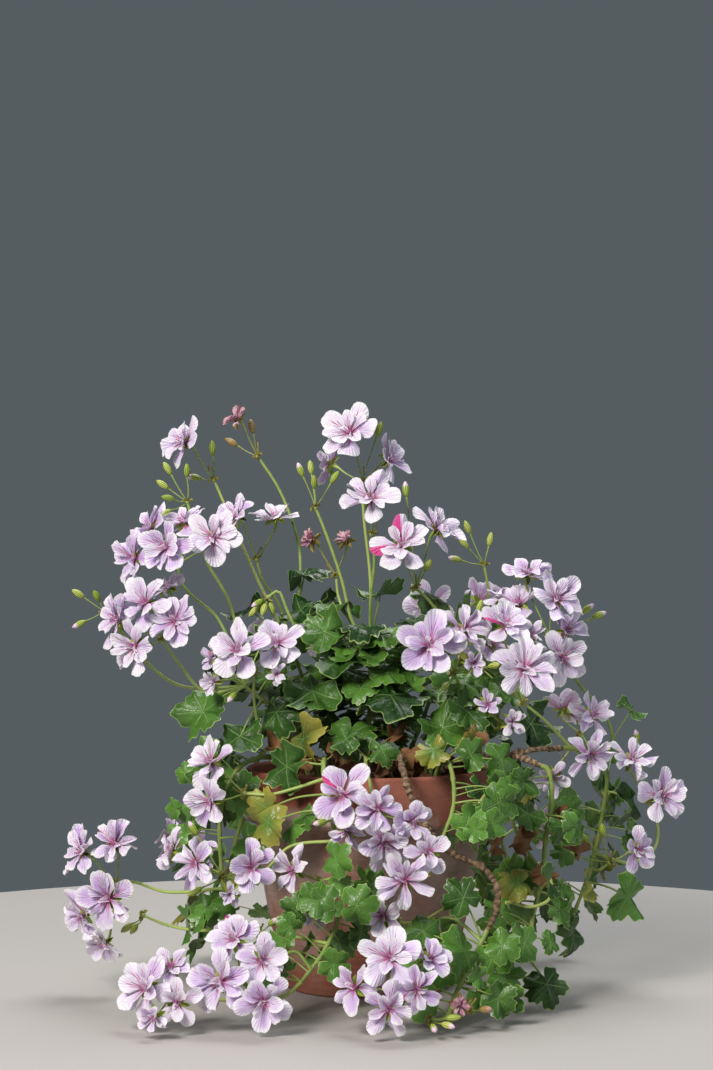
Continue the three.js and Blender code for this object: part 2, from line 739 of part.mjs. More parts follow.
    leaves: [
      [14, 108, 198, 40], [-30, 112, 196, 40], [20, 142, 108, 40], [-42, 148, 116, 40], [8, 174, 60, 40],
      [-44, 190, 40, 38],
    ],
  },
  {
    name: 'shoot_back_right',
    stems: [[
      [52, 46, 148], [52, 46, 168], [70, 64, 188], [90, 82, 176], [104, 96, 132], [122, 112, 74],
      [136, 124, 26],
    ]],
    umbels: [],
    leaves: [
      [62, 88, 198, 38], [104, 60, 200, 40], [84, 114, 146, 40], [128, 76, 152, 38], [98, 136, 78, 40],
      [150, 104, 56, 40],
    ],
  },
  {
    name: 'shoot_back_left_low',
    stems: [[
      [-50, 44, 148], [-50, 44, 168], [-70, 62, 188], [-90, 80, 176], [-104, 94, 128], [-120, 106, 70],
      [-132, 118, 26],
    ]],
    umbels: [],
    leaves: [
      [-64, 90, 194, 38], [-110, 56, 188, 40], [-84, 114, 142, 38], [-132, 68, 136, 40], [-98, 136, 70, 40],
      [-148, 84, 50, 40],
    ],
  },
];

// Woody stems, bare and ringed, each from its hole in the soil over the rim
const woods = [
  {
    name: 'wood_front',
    stems: [[
      [25, -40, 148], [25, -40, 168], [24, -82, 190], [26, -107, 182], [34, -114, 158], [46, -119, 138],
      [66, -126, 119], [84, -130, 112], [95, -134, 100], [96, -139, 82], [88, -146, 66],
    ]],
  },
  {
    name: 'wood_right',
    stems: [
      [[54, -30, 148], [54, -30, 168], [74, -60, 186], [104, -68, 190], [132, -62, 194], [152, -50, 194]],
      [[104, -68, 190], [122, -70, 187], [134, -72, 182]],
    ],
  },
];

// Where a bloom is and which way it faces: outward from its hub and from the pot, and a little to the front
function bloom(hub, place, index) {
  const [x, y, z, diameter] = place;
  const centre = new THREE.Vector3(x, y, Math.max(z, 0.45 * diameter + 2));
  const outward = new THREE.Vector3(x, y, 0).normalize();
  const axis = centre.clone().sub(hub).normalize().addScaledVector(outward, 0.6);
  axis.add(new THREE.Vector3(0, -0.35, 0)).normalize();
  return flower(hub, centre, axis, diameter, index);
}

let drawn = 0;

function head(plan) {
  const { hub, toStalk } = stalkWay(plan, stemsOf(shoots.find((place) => place.name === plan.shoot)));
  const solids = [knob(hub, toStalk)];
  plan.blooms.forEach((place) => {
    drawn += 1;
    solids.push(bloom(hub, place, drawn));
  });
  plan.buds.forEach((place) => solids.push(bud(hub, vector(place), budLength, budWidth)));
  return meshOf(plan.name, joined(solids), plan.dry ? petalDry : petalLilac);
}

// The stems of a shoot, the first of which may go on from the end of a woody stem
function stemsOf(plan) {
  const stems = plan.stems.map((points) => points.map(vector));
  if (plan.from) {
    const [name, branch] = plan.from;
    const [before, end] = woods.find((place) => place.name === name).stems[branch].slice(-2).map(vector);
    const onward = end.clone().sub(before).normalize();
    stems[0].unshift(end.clone().addScaledVector(onward, gap), end.clone().addScaledVector(onward, 5));
  }
  return stems;
}

// The way of the stalk that carries a head or an umbel, from beside its hub to its root on the shoot
function stalkWay(plan, stems) {
  const hub = vector(plan.hub);
  const rest = plan.stalk.map(vector);
  const way = [...rest, nearestOn(stems, rest.length ? rest[rest.length - 1] : hub)];
  const toStalk = way[0].clone().sub(hub).normalize();
  return { hub, way, toStalk };
}

// The stalk that carries a head ends a gap short of the head's swelling
function stalkTo(plan, stems) {
  const { hub, way, toStalk } = stalkWay(plan, stems);
  const start = hub.clone().addScaledVector(toStalk, knobRadius + gap);
  return stem([start, ...way], stalkRadius, stalkRadius + stalkFlare, 3, way.length);
}

// An umbel of green buds on its stalk
function umbel(plan, stems) {
  const { hub, way, toStalk } = stalkWay(plan, stems);
  return [
    stem([hub, ...way], stalkRadius, stalkRadius + stalkFlare, 3, way.length),
    knob(hub, toStalk),
    ...plan.buds.map((place) => bud(hub, vector(place), youngBud * budLength, youngBud * budWidth)),
  ];
}

let leafDrawn = 0;

function shoot(plan) {
  const stems = stemsOf(plan);
  const solids = stems.map((points) => stem(points, stemRadius, stemTaper * stemRadius, 4, stemSteps(points)));
  heads.filter((place) => place.shoot === plan.name).forEach((place) => solids.push(stalkTo(place, stems)));
  plan.umbels.forEach((place) => solids.push(...umbel(place, stems)));
  plan.leaves.forEach((place) => {
    leafDrawn += 1;
    solids.push(leaf(place, stems, leafDrawn));
  });
  return meshOf(plan.name, joined(solids), leafGreen);
}

function wood(plan) {
  const stems = plan.stems.map((points) => points.map(vector));
  return meshOf(plan.name, joined(stems.map((points) => {
    const [before, end] = points.slice(-2);
    const straight = [...points.slice(0, -1), end.clone().lerp(before, 0.3), end];
    return stem(straight, woodRadius, woodTaper * woodRadius, 5, stemSteps(points) + 1);
  })), bark);
}

// The pot, turned as one profile, with its drain holes
function outerRadius(height) {
  const shoulder = potHeight - rimBand;
  return baseRadius + (rimRadius - rimStep - baseRadius) * Math.sin((height / shoulder) * 1.25) / Math.sin(1.25);
}

const innerRadius = (height) => Math.min(outerRadius(height), rimRadius - rimStep) - wall;

function turned(profile, segments) {
  const corners = profile.map(([reach, height]) => new THREE.Vector2(reach, height));
  const geometry = new THREE.LatheGeometry(corners, segments);
  geometry.rotateX(Math.PI / 2);
  return solidOf(geometry);
}

function pot() {
  const shoulder = potHeight - rimBand;
  const profile = [[0, 0], [baseRadius - 2, 0], [outerRadius(2), 2]];
  for (const height of [45, 90, shoulder]) profile.push([outerRadius(height), height]);
  profile.push(
    [rimRadius - lipEdge / 2, shoulder], [rimRadius, shoulder + lipEdge],
    [rimRadius - lipEdge / 3, potHeight - 2], [rimRadius - lipEdge, potHeight],
    [rimRadius - wall, potHeight - 1], [rimRadius - wall, shoulder + floorThickness],
    [innerRadius(waist), waist], [innerRadius(floorThickness), floorThickness], [0, floorThickness],
  );
  const drains = [0, 1, 2].map((place) => {
    const angle = (2 * Math.PI * place) / 3 + 0.5;
    const cylinder = new THREE.CylinderGeometry(drainRadius, drainRadius, 3 * floorThickness, drainSides);
    cylinder.rotateX(Math.PI / 2);
    cylinder.translate(drainRing * Math.cos(angle), drainRing * Math.sin(angle), 0);
    return solidOf(cylinder);
  });
  return meshOf('pot', turned(profile, potSides).subtract(joined(drains)), terracotta);
}

// The soil, with a plain hole for each stem that stands in it
function soil() {
  const shoulder = potHeight - rimBand;
  const profile = [
    [0, floorThickness + gap], [innerRadius(floorThickness) - gap, floorThickness + gap],
    [innerRadius(waist) - gap, waist], [rimRadius - wall - gap, shoulder + floorThickness],
    [rimRadius - wall - gap, soilTop - soilDip], [0, soilTop],
  ];
  const feet = [...shoots, ...woods].filter((plan) => !plan.from).map((plan) => ({
    foot: plan.stems[0][0], radius: woods.includes(plan) ? woodRadius : stemRadius,
  }));
  const holes = feet.map(({ foot, radius }) => {
    const reach = 1.2 * radius + holeSlack;
    const cylinder = new THREE.CylinderGeometry(reach, reach, 2 * holeDepth, 5);
    cylinder.rotateX(Math.PI / 2);
    cylinder.translate(foot[0], foot[1], foot[2] - gap + holeDepth);
    return solidOf(cylinder);
  });
  return meshOf('soil', turned(profile, potSides).subtract(joined(holes)), compost);
}

const plant = new THREE.Group();
plant.add(pot(), soil());
woods.forEach((plan) => plant.add(wood(plan)));
shoots.forEach((plan) => plant.add(shoot(plan)));
heads.forEach((plan) => plant.add(head(plan)));

export default plant;
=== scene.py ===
import math
from functools import partial

import bpy
import numpy as np
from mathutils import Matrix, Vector, noise


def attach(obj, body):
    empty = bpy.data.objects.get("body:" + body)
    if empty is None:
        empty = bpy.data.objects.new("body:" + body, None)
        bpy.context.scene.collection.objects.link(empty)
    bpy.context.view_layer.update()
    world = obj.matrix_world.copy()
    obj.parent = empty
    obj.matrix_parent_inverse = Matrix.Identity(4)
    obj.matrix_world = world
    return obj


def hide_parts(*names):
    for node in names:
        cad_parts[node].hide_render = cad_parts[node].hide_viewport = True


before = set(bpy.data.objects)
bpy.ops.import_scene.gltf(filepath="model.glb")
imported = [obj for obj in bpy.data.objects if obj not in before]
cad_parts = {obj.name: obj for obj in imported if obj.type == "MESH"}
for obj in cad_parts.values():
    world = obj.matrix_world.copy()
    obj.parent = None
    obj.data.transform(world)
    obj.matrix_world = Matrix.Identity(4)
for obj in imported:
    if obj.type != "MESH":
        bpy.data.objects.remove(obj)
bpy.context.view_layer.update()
mm = 0.001


def draw(index, salt):  # a repeatable number between 0 and 1
    wave = math.sin(index * 12.9898 + salt * 78.233) * 43758.5453
    return wave - math.floor(wave)


def spread(index, salt, amount):
    return (2 * draw(index, salt) - 1) * amount


def unit(way):
    way = np.asarray(way, float)
    return way / np.linalg.norm(way)


def crossFrame(axis):  # two directions square to an axis, the first as near level as it can be
    level = np.cross((0, 0, 1), axis)
    if level @ level < 1e-4:
        level = np.array((1.0, 0, 0))
    level = unit(level)
    return level, np.cross(axis, level)


def turn(way, axis, angle):  # a direction turned round an axis
    way = np.asarray(way, float)
    return (way * math.cos(angle) + np.cross(axis, way) * math.sin(angle)
            + axis * (axis @ way) * (1 - math.cos(angle)))


# Materials. Every mesh carries two readings: grain, the place across and along a petal, leaf or stalk and 1 on
# its under side, and tint, three shares of what makes one of them differ from the next.
def linear(hexColour):  # sRGB hex to linear
    parts = [int(hexColour[place:place + 2], 16) / 255 for place in (1, 3, 5)]
    return tuple(part / 12.92 if part <= 0.04045 else ((part + 0.055) / 1.055) ** 2.4 for part in parts) + (1,)


def addNode(tree, kind, settings=None, links=None):
    made = tree.nodes.new("ShaderNode" + kind)
    for key, value in (settings or {}).items():
        setattr(made, key, value)
    connect(made, links or {})
    return made


def connect(made, links):  # sets a node's sockets to numbers and hex colours, or joins them to other nodes
    for socket, value in links.items():
        if isinstance(value, bpy.types.Node):
            value = value.outputs[0]
        if isinstance(value, bpy.types.NodeSocket):
            made.id_data.links.new(value, made.inputs[socket])
        else:
            made.inputs[socket].default_value = linear(value) if isinstance(value, str) else value


def newMaterial(name, surface):
    material = bpy.data.materials.new(name)
    material.use_nodes = True
    shader = material.node_tree.nodes["Principled BSDF"]
    connect(shader, surface)
    node = partial(addNode, material.node_tree)
    place = node("TexCoord").outputs["Object"]
    readings = [node("Attribute", {"attribute_name": title}).outputs[1] for title in ("grain", "tint")]
    grain, tint = [node("SeparateXYZ", links={0: reading}).outputs for reading in readings]
    return node, shader, place, grain, tint


# What the nodes do, by name
plus, times, less, timesPlus, sine, cosine, size, larger = [{"operation": way} for way in (
    "ADD", "MULTIPLY", "SUBTRACT", "MULTIPLY_ADD", "SINE", "COSINE", "ABSOLUTE", "MAXIMUM")]
eased = {"interpolation_type": "SMOOTHSTEP"}
softLight = {"blend_type": "SOFT_LIGHT"}

# Petal shades; "rim" is the colour of a painted highlight along each petal's edge
lilac = {
    "pale": "#f5eafb", "deep": "#d3b6ea", "line": "#ab86cf", "rim": "#fefbff",
    "throat": "#dd5fac", "vein": "#b3176c", "dash": "#7c1450", "mark": "#dd1686",
}
dusty = {
    "pale": "#f2d2e2", "deep": "#d898bd", "line": "#a9648a", "rim": "#c79c8c",
    "throat": "#c24f8a", "vein": "#9c2c63", "dash": "#7a1c4c", "mark": "#c41f78",
}


def petalMaterial(name, shades, withered):
    # Living petal tissue: thin and soft with a satin skin, so light bleeds a little through it
    node, shader, place, (across, along, side), (tone, veined, marked) = newMaterial(name, {
        "Roughness": 0.5, "IOR": 1.4, "Subsurface Weight": 0.0 if withered else 0.3,
        "Subsurface Radius": (0.9, 0.55, 0.8), "Subsurface Scale": 0.002, "Sheen Weight": 0.06,
    })
    mottle = node("TexNoise", links={"Vector": place, "Scale": 95.0, "Detail": 3.0})
    soft = node("Math", timesPlus, {0: mottle, 1: 0.7, 2: node("Math", times, {0: tone, 1: 0.7})})
    soft = node("MapRange", eased, {0: soft, 1: 0.3, 2: 1.1})
    colour = node("MixRGB", links={0: soft, 1: shades["pale"], 2: shades["deep"]})
    under = node("Math", times, {0: side, 1: 0.45})

    # Fine lines fan out from the claw, about 1.2 mm apart, and the edge is painted paler as a highlight
    fan = node("Math", sine, {0: node("Math", times, {0: across, 1: 31.0})})
    lines = node("MapRange", eased, {0: fan, 1: 0.1, 2: 1.0, 4: 0.3})
    lines = node("Math", times, {0: lines, 1: node("MapRange", eased, {0: along, 1: 1.0, 2: 0.3})})
    wide = node("Math", size, {0: across})
    outer = node("Math", larger, {0: along, 1: node("Math", timesPlus, {0: wide, 1: 0.7, 2: 0.22})})
    edge = node("MapRange", eased, {0: outer, 1: 0.78, 2: 1.0, 4: 0.75})

    # The throat is flushed, and most petals carry feathered lines, the upper ones with a darker dash
    flush = node("Math", timesPlus, {0: mottle, 1: 0.14, 2: along})
    flush = node("MapRange", eased, {0: flush, 1: 0.56, 2: 0.22, 4: 0.75})
    rays = node("Math", cosine, {0: node("Math", times, {0: across, 1: 15.5})})
    rays = node("MapRange", eased, {0: rays, 1: 0.45, 2: 0.85})
    reach = node("Math", timesPlus, {0: wide, 1: 0.4, 2: along})
    reach = node("Math", timesPlus, {0: mottle, 1: 0.3, 2: reach})
    reach = node("Math", timesPlus, {0: veined, 1: -0.3, 2: reach})
    feather = node("Math", times, {0: rays, 1: node("MapRange", eased, {0: reach, 1: 0.7, 2: 0.44})})
    beside = node("Math", less, {0: wide, 1: 0.38})
    beyond = node("Math", less, {0: along, 1: 0.52})
    far = node("Math", times, {0: node("Math", times, {0: beside, 1: beside}), 1: 5.0})
    far = node("Math", plus, {0: far, 1: node("Math", times, {0: beyond, 1: beyond})})
    dash = node("MapRange", eased, {0: far, 1: 0.012, 2: 0.005, 4: 0.9})
    dash = node("Math", times, {0: dash, 1: node("MapRange", eased, {0: veined, 1: 0.7, 2: 0.9})})

    # Here and there a petal is marked in hot pink along one edge of it, the more the further inward
    sector = node("Math", timesPlus, {0: marked, 1: 0.8, 2: across})
    sector = node("Math", timesPlus, {0: mottle, 1: 0.3, 2: sector})
    sector = node("MapRange", eased, {0: sector, 1: 1.0, 2: 1.08})
    sector = node("Math", times, {0: sector, 1: node("MapRange", eased, {0: marked, 1: 0.1, 2: 0.4, 4: 0.92})})
    sector = node("Math", times, {0: sector, 1: node("MapRange", eased, {0: along, 1: 0.2, 2: 0.4})})

    # Age browns a petal from its tip
    crisp = node("Math", timesPlus, {0: mottle, 1: 0.8, 2: node("Math", times, {0: along, 1: 0.5})})
    crisp = node("MapRange", eased, {0: crisp, 1: 0.78, 2: 1.06, 4: 0.6})
    if not withered:
        age = node("MapRange", eased, {0: tone, 1: 0.92, 2: 1.0, 4: 0.5})
        crisp = node("Math", times, {0: crisp, 1: age})
    # The edge share lays the painted highlight of "rim" over the petal's own colours
    for share, shade in (
            (under, shades["deep"]), (lines, shades["line"]), (edge, shades["rim"]),
            (flush, shades["throat"]), (feather, shades["vein"]), (dash, shades["dash"]),
            (sector, shades["mark"]), (crisp, "#8f6446")):
        colour = node("MixRGB", links={0: share, 1: colour, 2: shade})
    height = node("TexNoise", links={"Vector": place, "Scale": 420.0, "Detail": 3.0})
    height = node("Math", timesPlus, {0: fan, 1: 0.4, 2: height})
    bump = node("Bump", links={"Height": height, "Strength": 0.6, "Distance": 0.0007})
    connect(shader, {"Base Color": colour, "Normal": bump})
    return name


def leafMaterial(name):
    # Fleshy ivy-like leaf: a waxy skin over soft green tissue, with a thin pale margin and sunk paler veins
    node, shader, place, (beside, along, side), (tone, yellowed, dried) = newMaterial(name, {
        "IOR": 1.47, "Subsurface Weight": 0.1, "Subsurface Radius": (0.5, 0.9, 0.3), "Subsurface Scale": 0.001,
    })
    mottle = node("TexNoise", links={"Vector": place, "Scale": 75.0, "Detail": 4.0})
    # A lower tone gives a darker green; for the larger leaves it also carries painted shade, set by where they
    # stand
    soft = node("Math", timesPlus, {0: mottle, 1: 0.6, 2: node("Math", times, {0: tone, 1: 0.8})})
    soft = node("MapRange", eased, {0: soft, 1: 0.25, 2: 1.2})
    colour = node("MixRGB", links={0: soft, 1: "#12350c", 2: "#5f9136"})
    wide = node("Math", size, {0: beside})
    fade = node("MapRange", eased, {0: along, 1: 1.0, 2: 0.45})
    midrib = node("MapRange", eased, {0: wide, 1: 0.018, 2: 0.004})
    midrib = node("Math", times, {0: midrib, 1: fade})
    feather = node("Math", timesPlus, {0: wide, 1: -30.0, 2: node("Math", times, {0: along, 1: 34.0})})
    feather = node("MapRange", eased, {0: node("Math", sine, {0: feather}), 1: 0.88, 2: 1.0, 4: 0.5})
    veins = node("Math", larger, {0: midrib, 1: node("Math", times, {0: feather, 1: fade})})
    shown = node("Math", times, {0: veins, 1: 0.3})
    rim = node("MapRange", eased, {0: along, 1: 0.94, 2: 1.0, 4: 0.75})
    under = node("Math", times, {0: side, 1: 0.5})

    # An old leaf yellows from its edge, and then dries brown
    turning = node("Math", timesPlus, {0: along, 1: 0.6, 2: yellowed})
    turning = node("MapRange", eased, {0: turning, 1: 0.7, 2: 1.5, 4: 0.85})
    crisp = node("Math", timesPlus, {0: mottle, 1: 0.5, 2: dried})
    crisp = node("MapRange", eased, {0: crisp, 1: 0.6, 2: 1.05})
    brown = node("MixRGB", links={0: tone, 1: "#4a3020", 2: "#8b6238"})
    for share, shade in (
            (shown, "#9cc277"), (rim, "#a9c86f"), (under, "#7f9f6b"), (turning, "#a9a046"), (crisp, brown)):
        colour = node("MixRGB", links={0: share, 1: colour, 2: shade})
    rough = node("Math", timesPlus, {0: dried, 1: 0.4, 2: 0.19})
    rough = node("Math", timesPlus, {0: mottle, 1: 0.3, 2: rough})
    quilt = node("TexNoise", links={"Vector": place, "Scale": 300.0, "Detail": 3.0})
    quilt = node("Math", timesPlus, {0: veins, 1: -0.9, 2: quilt})
    bump = node("Bump", links={"Height": quilt, "Strength": 0.6, "Distance": 0.0011})
    connect(shader, {"Base Color": colour, "Roughness": rough, "Normal": bump})
    return name


def stalkMaterial(name):
    # Soft green stalk skin, lightly ribbed along and reddened at its joints
    node, shader, place, (around, *_), (tone, red, dried) = newMaterial(name, {
        "Roughness": 0.42, "IOR": 1.45})
    mottle = node("TexNoise", links={"Vector": place, "Scale": 160.0, "Detail": 3.0})
    soft = node("Math", timesPlus, {0: mottle, 1: 0.6, 2: node("Math", times, {0: tone, 1: 0.7})})
    soft = node("MapRange", eased, {0: soft, 1: 0.2, 2: 1.1})
    colour = node("MixRGB", links={0: soft, 1: "#56842c", 2: "#b6cb6c"})
    ribs = node("Math", sine, {0: node("Math", times, {0: around, 1: 44.0})})
    ribs = node("MapRange", eased, {0: ribs, 1: 0.0, 2: 1.0, 4: 0.3})
    blush = node("Math", times, {0: node("MapRange", eased, {0: mottle, 1: 0.35, 2: 0.7}), 1: red})
    straw = node("MixRGB", links={0: mottle, 1: "#7d5a3a", 2: "#b99468"})
    for share, shade in ((ribs, "#c6d98c"), (blush, "#97674a"), (dried, straw)):
        colour = node("MixRGB", links={0: share, 1: colour, 2: shade})
    height = node("TexNoise", links={"Vector": place, "Scale": 700.0})
    height = node("Math", timesPlus, {0: ribs, 1: 0.8, 2: height})
    bump = node("Bump", links={"Height": height, "Strength": 0.4, "Distance": 0.0003})
    connect(shader, {"Base Color": colour, "Normal": bump})
    return name


def budMaterial(name):
    # Sepals folded over a bud: yellow-green with darker seams from end to end, a petal tip showing when ripe
    node, shader, place, (around, along, _), (tone, ripe, dried) = newMaterial(name, {
        "Roughness": 0.45, "IOR": 1.45})
    mottle = node("TexNoise", links={"Vector": place, "Scale": 240.0})
    colour = node("MixRGB", links={0: tone, 1: "#9ab53c", 2: "#d2da72"})
    seams = node("Math", cosine, {0: node("Math", times, {0: around, 1: 31.416})})
    seams = node("MapRange", eased, {0: seams, 1: 0.0, 2: 0.9, 4: 0.85})
    tip = node("Math", times, {0: node("MapRange", eased, {0: along, 1: 0.6, 2: 0.8}), 1: ripe})
    straw = node("MixRGB", links={0: mottle, 1: "#6f4c30", 2: "#b98d62"})
    for share, shade in ((seams, "#4d6f27"), (tip, "#eccfe2"), (dried, straw)):
        colour = node("MixRGB", links={0: share, 1: colour, 2: shade})
    height = node("Math", timesPlus, {0: seams, 1: -0.8, 2: mottle})
    bump = node("Bump", links={"Height": height, "Strength": 0.5, "Distance": 0.0004})
    connect(shader, {"Base Color": colour, "Normal": bump})
    return name


def barkMaterial(name):
    # Old dry stem bark: papery rings about 4 mm apart where leaves once stood, paler flakes between them
    node, shader, place, (_, along, _), _ = newMaterial(name, {"Roughness": 0.85})
    mottle = node("TexNoise", links={"Vector": place, "Scale": 280.0, "Detail": 5.0})
    flake = node("TexNoise", links={"Vector": place, "Scale": 110.0, "Detail": 4.0})
    wobble = node("Math", timesPlus, {0: flake, 1: 14.0, 2: node("Math", times, {0: along, 1: 1.3})})
    rings = node("Math", sine, {0: wobble})
    colour = node("MixRGB", links={0: mottle, 1: "#54402f", 2: "#a08465"})
    pale = node("MapRange", eased, {0: flake, 1: 0.48, 2: 0.66, 4: 0.75})
    dark = node("MapRange", eased, {0: rings, 1: 0.4, 2: 1.0, 4: 0.6})
    for share, shade in ((pale, "#b59a7c"), (dark, "#402c20")):
        colour = node("MixRGB", links={0: share, 1: colour, 2: shade})
    height = node("Math", timesPlus, {0: rings, 1: -0.6, 2: mottle})
    bump = node("Bump", links={"Height": height, "Strength": 0.9, "Distance": 0.0014})
    connect(shader, {"Base Color": colour, "Normal": bump})
    return name


def terracottaMaterial(name):
    # Unglazed fired clay, thrown and dried, then weathered: lime has bloomed through it and dirt stains it
    node, shader, place, *_ = newMaterial(name, {"Roughness": 0.9})
    height = node("SeparateXYZ", links={0: place}).outputs[2]
    grit = node("TexNoise", links={"Vector": place, "Scale": 900.0, "Detail": 4.0, "Roughness": 0.7})
    patches = node("TexNoise", links={"Vector": place, "Scale": 26.0, "Detail": 6.0, "Roughness": 0.62})
    wash = node("TexNoise", links={"Vector": place, "Scale": 11.0, "Detail": 4.0})
    colour = node("MixRGB", links={0: patches, 1: "#874837", 2: "#c08370"})
    rim = node("MapRange", eased, {0: height, 1: 0.134, 2: 0.137})
    dark = node("MapRange", eased, {0: wash, 1: 0.35, 2: 0.62, 4: 0.85})
    dark = node("Math", times, {0: rim, 1: dark})

    # Lime: over the body, most of it low down, and in a crust along the lower edge of the rim's band
    body = node("Math", less, {0: 1.0, 1: rim})
    bloom = node("Math", timesPlus, {0: patches, 1: 0.9, 2: node("Math", times, {0: wash, 1: 0.9})})
    lower = node("MapRange", eased, {0: height, 1: 0.0, 2: 0.11, 4: 0.3})
    limed = node("MapRange", eased, {0: node("Math", plus, {0: bloom, 1: lower}), 1: 0.85, 2: 1.25, 4: 0.85})
    limed = node("Math", times, {0: limed, 1: body})
    band = node("MapRange", eased, {0: height, 1: 0.154, 2: 0.137, 4: 0.9})
    band = node("Math", times, {0: node("Math", times, {0: rim, 1: band}),
                                1: node("MapRange", eased, {0: bloom, 1: 0.75, 2: 1.05})})
    stain = node("TexNoise", links={"Vector": place, "Scale": 19.0, "Detail": 5.0, "Roughness": 0.65})
    stain = node("MapRange", eased, {0: stain, 1: 0.55, 2: 0.72, 4: 0.65})
    for share, shade in ((dark, "#7a4033"), (limed, "#b9a49c"), (band, "#d8cabf"), (stain, "#544841")):
        colour = node("MixRGB", links={0: share, 1: colour, 2: shade})
    speck = node("MapRange", eased, {0: grit, 1: 0.35, 2: 0.65, 4: 0.4})
    colour = node("MixRGB", softLight, {0: speck, 1: colour, 2: "#e0c7b6"})
    relief = node("Math", timesPlus, {0: patches, 1: 1.8, 2: grit})
    bump = node("Bump", links={"Height": relief, "Strength": 0.6, "Distance": 0.001})
    connect(shader, {"Base Color": colour, "Normal": bump})
    return name


def compostMaterial(name):
    # Dark peat-free compost: loose crumbs of a few millimetres, dry and matt
    node, shader, place, _, (tone, *_) = newMaterial(name, {"Roughness": 0.95})
    crumbs = node("TexNoise", links={"Vector": place, "Scale": 330.0, "Detail": 5.0, "Roughness": 0.7})
    colour = node("MixRGB", links={0: crumbs, 1: "#1d130d", 2: "#54402f"})
    chip = node("MixRGB", links={0: crumbs, 1: "#5c3f2a", 2: "#94714f"})
    colour = node("MixRGB", links={0: tone, 1: colour, 2: chip})
    bump = node("Bump", links={"Height": crumbs, "Strength": 1.0, "Distance": 0.002})
    connect(shader, {"Base Color": colour, "Normal": bump})
    return name


looks = {
    "petal": petalMaterial("lilacPetal", lilac, False),
    "witheredPetal": petalMaterial("witheredPetal", dusty, True),
    "leaf": leafMaterial("pelargoniumLeaf"),
    "stalk": stalkMaterial("greenStalkSkin"),
    "bud": budMaterial("budSepals"),
    "bark": barkMaterial("dryStemBark"),
    "terracotta": terracottaMaterial("weatheredTerracotta"),
    "compost": compostMaterial("dryCompost"),
}
lookOrder = list(looks)
print("materials made")

